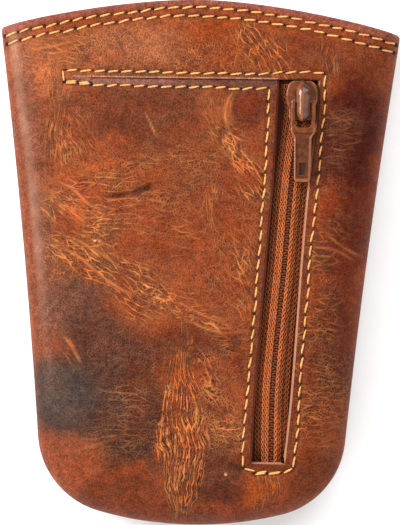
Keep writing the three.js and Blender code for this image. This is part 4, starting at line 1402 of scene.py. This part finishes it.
def make_tape(side, name):
    reach = np.concatenate([np.linspace(0.0, 5.0, 21), np.linspace(5.6, TAPE_HALF, 8)])
    y, reach = np.meshgrid(np.arange(TAPE_BOTTOM, TAPE_TOP + 0.01, 0.4), reach, indexing="ij")
    rib = 0.035 * np.sin(y * 2 * pi / RIB_PITCH) * np.cos(reach * 2 * pi)
    cord = 0.10 * np.exp(-(((reach - CORD_REACH) / 0.35) ** 2))
    cord = cord * (1 + 0.5 * np.sin(y * 2 * pi / COIL_PITCH))
    top = chain_place(side, y, reach, rib + cord - 0.04)
    low = chain_place(side, y, reach, np.full_like(rib, -TAPE_DEPTH))
    tape = Gathered()
    tape.loft(np.concatenate([top, low[:, ::-1]], axis=1), turned=side < 0)
    piece = tape.made(name, TAPE)
    piece.data.set_sharp_from_angle(angle=radians(50))
    return piece


def make_coil(side, name):
    """One half of the chain: a nylon filament wound round and round, its heads past the middle."""
    turns = int((COIL_END - COIL_START) / COIL_PITCH) - 1
    t = np.arange(turns * TURN_POINTS + 1) / TURN_POINTS
    angle = 2 * pi * t
    start = COIL_START + 0.5 + (0.5 * COIL_PITCH if side > 0 else 0)
    y = start + COIL_PITCH * (t + 0.10 * np.sin(angle))
    coil = Gathered()
    path = chain_place(side, y, 0.58 + 1.02 * np.cos(angle), 0.92 + 0.36 * np.sin(angle))
    coil.tube(path, FILAMENT_RADIUS)
    return coil.made(name, NYLON)


# The sewing's columns on each side: distance from the middle, height over the tapes, radius
BRAID_COLUMNS = ((1.05, 1.5, 0.2), (1.95, 1.15, 0.19), (2.8, 0.4, 0.17), (3.5, 0.12, 0.12))
# How dark the sewing is painted as shade, at distances from the chain's middle.
BRAID_SHADE_AT = (-2.6, -2.2, 1.6, 2.0, 2.8, 3.4)
BRAID_SHADE = (0.42, 0.0, 0.0, 0.5, 0.42, 0.2)


def make_braids():
    """Chain stitches that hold the coil to its tapes, in columns on each side."""
    threads = Gathered()
    y = np.arange(COIL_START + 0.8, COIL_END - 0.6, 0.125)
    for side in (-1, 1):
        for number, (reach, top, radius) in enumerate(BRAID_COLUMNS):
            phase = pi * (y / COIL_PITCH + 0.5 * number) + 0.8 * side
            for strand in (-1, 1):
                sway, lift = strand * 0.3 * np.sin(phase), strand * 0.12 * np.cos(phase)
                threads.tube(chain_place(side, y, reach + sway, top + lift), radius, 6)
    piece = threads.made("zip_sewing", BRAID_THREAD)
    x, y, _ = point_array(piece).T
    # Painted shade on the sewing's outer columns.
    add_attribute(piece, "shaded", np.interp(x - zip_middle(y), BRAID_SHADE_AT, BRAID_SHADE))
    return piece


case_pieces = [front, back] + stitches
for make, side, name, node, slot in (
    (make_tape, -1, "tape_left", "zip_tape_left", "zip_tape"),
    (make_tape, 1, "tape_right", "zip_tape_right", "zip_tape"),
    (make_coil, -1, "coil_left", "zip_coil_left", "zip_coil"),
    (make_coil, 1, "coil_right", "zip_coil_right", "zip_coil"),
):
    piece = make(side, name)
    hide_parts(node)
    case_pieces.append(piece)
braids = make_braids()
case_pieces.append(braids)

# ---------- slider ----------

SLIDER_NOSE, SLIDER_REAR = 4.6, -4.7
NOSE_HALF, REAR_HALF = 3.7, 3.0
PLATE, FLANGE = 0.8, 0.5
FLOOR_TOP = TAPE_LEVEL - TAPE_DEPTH - 0.3
BRIDGE_TOP = PLATE_TOP + 2.5
BRIDGE_ROOF = BRIDGE_TOP - 0.75
BRIDGE_OFFSET = 0.32
RIDGE = -0.15


def bend(start, control, end, count=10):
    """Points of a quadratic curve, without its last."""
    start, control, end = (np.array(point, float) for point in (start, control, end))
    t = np.arange(count)[:, None] / count
    return (1 - t) ** 2 * start + 2 * t * (1 - t) * control + t * t * end


def slider_side(trim):
    """The right half of the slider's outline, from its rear to its nose."""
    slim, wide = REAR_HALF - trim, NOSE_HALF - trim
    rear, nose = SLIDER_REAR + trim, SLIDER_NOSE - trim
    return np.vstack([
        [(slim - 0.35, rear)],
        bend((slim - 0.35, rear), (slim, rear), (slim, rear + 0.35), 5),
        np.linspace((slim, rear + 0.35), (slim, -1.9), 6)[:-1],
        bend((slim, -1.9), (wide, -0.6), (wide, 1.0)),
        bend((wide, 1.0), (wide, nose), (1.6, nose), 14),
        [(1.6, nose)],
    ])


def mirrored(side):
    return np.vstack([side, side[::-1] * (-1, 1)])


def add_plate(solid, outline, low, high, rounded, dish=0.0):
    """A plate with rounded edges. dish hollows its upper face a little."""
    outline = np.asarray(outline, float)
    outline = outline[np.linalg.norm(outline - np.roll(outline, 1, axis=0), axis=1) > 1e-6]
    tangent = unit(np.roll(outline, -1, axis=0) - np.roll(outline, 1, axis=0))
    inward = np.stack([-tangent[:, 1], tangent[:, 0]], axis=1)
    quarter = [(rounded * (1 - sin(t)), rounded * (1 - cos(t))) for t in np.linspace(0, pi / 2, 5)]
    profile = [(i, low + rise) for i, rise in quarter] + [(i, high - rise) for i, rise in quarter[::-1]]
    profile.append((rounded + 0.3, high - dish))
    solid.loft([np.column_stack([outline + inward * i, np.full(len(outline), z)]) for i, z in profile])


def add_bridge(solid):
    """The arch that the pull tab hangs on: a bar with a ridge along its back."""
    rear, nose, foot = SLIDER_REAR, SLIDER_NOSE, PLATE_TOP - 0.4
    outer = even(np.vstack([
        [(rear, foot)],
        bend((rear, BRIDGE_ROOF - 0.3), (rear + 0.1, BRIDGE_TOP - 0.1), (rear + 1.6, BRIDGE_TOP)),
        bend((nose - 3, BRIDGE_TOP), (nose - 0.8, BRIDGE_TOP - 0.3), (nose - 0.2, PLATE_TOP)),
        [(nose - 0.2, foot)],
    ]), 44)
    inner = even(np.vstack([
        [(rear + 1.4, foot)],
        bend((rear + 1.4, BRIDGE_ROOF - 0.4), (rear + 1.4, BRIDGE_ROOF), (rear + 1.8, BRIDGE_ROOF), 5),
        bend((nose - 2.9, BRIDGE_ROOF), (nose - 1.9, BRIDGE_ROOF - 0.1), (nose - 1.9, PLATE_TOP)),
        [(nose - 1.9, foot)],
    ]), 44)
    rings = []
    for over, under in zip(outer, inner):
        wide = 1.5 + 0.2 * float(smooth((over[0] + 1.5) / 4))
        # across, and how far from the underside (0) to the back (1)
        section = (
            (-wide + 0.12, 0.0), (-wide, 0.08), (-wide + 0.03, 0.2), (RIDGE - 0.62, 1.08),
            (RIDGE - 0.3, 1.22), (RIDGE, 1.3), (RIDGE + 0.3, 1.25), (0.62 * wide, 0.86),
            (wide - 0.12, 0.56), (wide, 0.38), (wide, 0.12), (wide - 0.12, 0.0),
        )
        rings.append([(BRIDGE_OFFSET + x, *(under + (over - under) * t)) for x, t in section])
    solid.loft(rings)


def make_slider():
    solid = Gathered()
    add_plate(solid, mirrored(slider_side(0.0)), PLATE_TOP - PLATE, PLATE_TOP, 0.24, 0.06)
    add_plate(solid, mirrored(slider_side(0.05)), FLOOR_TOP - PLATE, FLOOR_TOP, 0.2)
    side = slider_side(0.0)
    side = side[(side[:, 1] < SLIDER_NOSE - 1.9) & (side[:, 0] > REAR_HALF - 0.01)]
    wall = np.vstack([side, (side - (FLANGE, 0))[::-1]])
    for flange in (wall, wall[::-1] * (-1, 1)):
        add_plate(solid, flange, TAPE_LEVEL + 0.3, PLATE_TOP - PLATE + 0.1, 0.08)
    post = ((0, 2.4), (0.75, 3.5), (0.75, 4.4), (-0.75, 4.4), (-0.75, 3.5))
    add_plate(solid, post, FLOOR_TOP - 0.3, PLATE_TOP - 0.3, 0.06)
    add_bridge(solid)
    body = solid.made("slider_body", LACQUER, (SLIDER_X, SLIDER_Y, 0))
    body.data.set_sharp_from_angle(angle=radians(38))
    return body


# ---------- pull tab ----------

RING_HALF, RING_HOLE_HALF, RING_END = 2.9, 1.9, -6.2
BAR_RADIUS = 0.5
SHANK_HALF, END_HALF, TAB_END = 2.1, 1.95, -19.1
TAB_EDGE = 0.26
RIM = 0.44
PANEL_START, PANEL_END, PANEL_DEPTH = -7.4, -18.3, 0.34
SLOT_START, SLOT_END, SLOT_HALF, SLOT_DEPTH = -14.5, -17.5, 0.72, 0.5
# Across half of the tab, as fractions from its hole or its middle to its edge.
TAB_COLUMNS = np.array([
    0, 0.15, 0.30, 0.33, 0.37, 0.40, 0.55, 0.70, 0.755, 0.79, 0.83, 0.87, 0.90, 0.93, 0.96, 0.985, 1,
])


def tab_half_width(y):
    """Half of the tab's width, y from its hinge along its length."""
    shank = RING_HALF + (SHANK_HALF - RING_HALF) * smooth((-6.9 - y) / 1.9)
    shank = shank + (END_HALF - SHANK_HALF) * np.clip((-8.8 - y) / 9.5, 0, 1) - round_off(y - TAB_END, 0.8)
    return np.where(y > -0.2, RING_HALF - round_off(BAR_RADIUS - y, 0.7), shank)


def tab_hole_half(y):
    return 0.0 if y < RING_END else RING_HOLE_HALF - round_off(y - RING_END, 1.2)


def tab_section(y):
    """One side's section, from the hole's or the middle's lower edge round to its upper edge."""
    outer, inner = float(tab_half_width(y)), float(tab_hole_half(y))
    x = inner + (outer - inner) * TAB_COLUMNS
    edge = np.minimum(outer - x, y - TAB_END)
    if y > -BAR_RADIUS:
        edge = np.minimum(edge, BAR_RADIUS - y)
    if inner > 0:
        edge = np.minimum(edge, x - inner)
    drop = round_off(edge, TAB_EDGE)
    panel = smooth((PANEL_START - y) / 0.16) * smooth((y - PANEL_END) / 0.16)
    panel = panel * smooth((outer - RIM - x) / 0.13)
    slot = smooth((SLOT_START - y) / 0.14) * smooth((y - SLOT_END) / 0.14) * smooth((SLOT_HALF - x) / 0.10)
    half = TAB_THICKNESS / 2
    top = half - drop - PANEL_DEPTH * panel - SLOT_DEPTH * slot
    height = np.append(drop - half, top[::-1])
    return np.column_stack([np.append(x, x[::-1]), np.full(2 * len(x), y), height])


def make_tab():
    ys = np.concatenate([
        BAR_RADIUS - np.array([0.0, 0.02, 0.06, 0.12, 0.2, 0.3, 0.42, 0.6]),
        np.arange(-0.35, RING_END + 1.3, -0.4),
        RING_END + np.array([1.2, 1.0, 0.75, 0.5, 0.3, 0.15, 0.06, 0.0]),
        np.arange(RING_END - 0.001, TAB_END + 0.3, -0.08),
        TAB_END + np.array([0.26, 0.2, 0.14, 0.08, 0.04, 0.01, 0.0]),
    ])
    sections = np.array([tab_section(y) for y in ys])
    solid = [r for r, y in enumerate(ys) if tab_hole_half(y) <= 0]
    tab = Gathered()
    for side in (-1, 1):
        tab.loft(sections * (side, 1, 1), turned=side > 0, parted=solid)
    tab.tube([(x, 0, 0) for x in np.linspace(-2.1, 2.1, 9)], BAR_RADIUS, 20)
    piece = tab.made("tab_body", LACQUER, (TAB_X, TAB_Y, TAB_AXIS))
    with reworked(piece.data) as mesh:
        bmesh.ops.remove_doubles(mesh, verts=mesh.verts, dist=1e-6)
        bmesh.ops.dissolve_degenerate(mesh, dist=1e-7, edges=mesh.edges)
        bmesh.ops.recalc_face_normals(mesh, faces=mesh.faces)
    piece.data.set_sharp_from_angle(angle=radians(42))
    return piece


def paint_lacquer_wear_and_light(piece, wear_and_highlight, painted_shade):
    """How far the lacquer is worn pale and painted lighter as a highlight, and how far painted shade
    darkens it, point by point.
    """
    add_attribute(piece, "wear_and_highlight", np.clip(wear_and_highlight, 0, 1))
    add_attribute(piece, "painted_shade", np.clip(painted_shade, 0, 1))


def paint_slider_wear_and_light(piece):
    x, y, z = (point_array(piece) - (SLIDER_X, SLIDER_Y, 0)).T
    on_bridge = z > PLATE_TOP + 0.05
    rim = smooth((np.hypot(x, 0.8 * (y - 1)) - 3.1) / 0.5) * (z > PLATE_TOP - 0.3)
    ridge = smooth((z - BRIDGE_TOP - 0.14) / 0.08) * (np.abs(y) < 4)
    # Painted shade on the slider's lower parts under its top plate, and on the bridge's side away from the
    # light.
    low = smooth((PLATE_TOP - 0.1 - z) / 0.6)
    shaded_side = on_bridge * smooth((x - BRIDGE_OFFSET + 0.1) / 0.25) * (1 - ridge)
    lit_side = on_bridge * smooth((BRIDGE_OFFSET - 0.2 - x) / 0.25)
    # Painted highlights on the bridge's ridge and lit side, and along the plate's rim.
    wear_and_highlight = np.where(on_bridge, np.maximum(0.9 * ridge, 0.25 * lit_side), 0.55 * rim)
    paint_lacquer_wear_and_light(piece, wear_and_highlight, np.maximum(0.6 * low, 0.42 * shaded_side))


def paint_tab_wear_and_light(piece):
    x, y, z = (point_array(piece) - (TAB_X, TAB_Y, TAB_AXIS)).T
    half = TAB_THICKNESS / 2
    edge = tab_half_width(y) - np.abs(x)
    # The tab's rims and end are lighter, partly from edge wear and partly as painted highlights. Its slot
    # and recessed panel get painted shade.
    rims = smooth((RIM + 0.05 - edge) / 0.12) * (y < RING_END) * (z > -0.2)
    end = smooth((PANEL_END + 0.05 - y) / 0.12) * (z > -0.2)
    slot = (y < SLOT_START) & (y > SLOT_END) & (np.abs(x) < SLOT_HALF)
    deep = smooth((half - PANEL_DEPTH - 0.15 - z) / 0.2) * slot
    painted_shade = 0.3 * smooth((half - 0.2 - z) / 0.1) * (y < PANEL_START) * (np.abs(z) < half)
    paint_lacquer_wear_and_light(piece, 0.7 * np.maximum(rims, end), np.maximum(0.62 * deep, painted_shade))


slider = make_slider()
tab = make_tab()
paint_slider_wear_and_light(slider)
paint_tab_wear_and_light(tab)
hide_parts("zip_slider")
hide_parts("pull_tab")

for piece in case_pieces + [slider]:
    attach(piece, CASE)
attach(tab, TAB)

# ---------- floor, light and camera ----------

floor_data = bpy.data.meshes.new("floor")
with reworked(floor_data) as mesh:
    bmesh.ops.create_grid(mesh, x_segments=12, y_segments=12, size=1.6)
floor_data.materials.append(FLOOR)
floor = placed("floor", floor_data)

# name, azimuth (0 is +X) and height in degrees, distance, size, power
SOFT_BOXES = (
    ("key", 158, 36, 0.7, 0.4, 8.6),
    ("back", 62, 46, 0.9, 0.6, 5.0),
    ("front", -112, 42, 0.9, 0.6, 3.0),
    ("fill", -24, 40, 0.9, 0.7, 3.2),
)
for name, azimuth, height, distance, size, power in SOFT_BOXES:
    light = bpy.data.lights.new(name, "AREA")
    light.shape = "SQUARE"
    light.size = size
    light.energy = power
    lamp = placed(name, light)
    a, e = radians(azimuth), radians(height)
    lamp.location = Vector((cos(a) * cos(e), sin(a) * cos(e), sin(e))) * distance
    lamp.rotation_euler = (-lamp.location).to_track_quat("-Z", "Y").to_euler()

world = bpy.data.worlds.new("studio")
world.use_nodes = True
background = world.node_tree.nodes["Background"]
background.inputs["Color"].default_value = (1, 1, 1, 1)
background.inputs["Strength"].default_value = 0.3
bpy.context.scene.world = world
bpy.context.scene.view_settings.view_transform = "Standard"

VIEW_LENGTH = 125.0  # what the picture's height covers, in the plane of the seam
VIEW_X, VIEW_Y, VIEW_TURN = 1.071, 0.024, 1.3
CAMERA_DISTANCE, SENSOR_HEIGHT = 2000.0, 24.0
camera_data = bpy.data.cameras.new("camera")
camera_data.sensor_fit = "VERTICAL"
camera_data.sensor_height = SENSOR_HEIGHT
camera_data.lens = SENSOR_HEIGHT * CAMERA_DISTANCE / VIEW_LENGTH
camera_data.clip_start = 0.1
camera_data.clip_end = 20
camera = placed("camera", camera_data)
camera.location = (VIEW_X * MM, VIEW_Y * MM, (SEAM + CAMERA_DISTANCE) * MM)
camera.rotation_euler = (0, 0, radians(VIEW_TURN))
bpy.context.scene.camera = camera

bpy.context.view_layer.update()
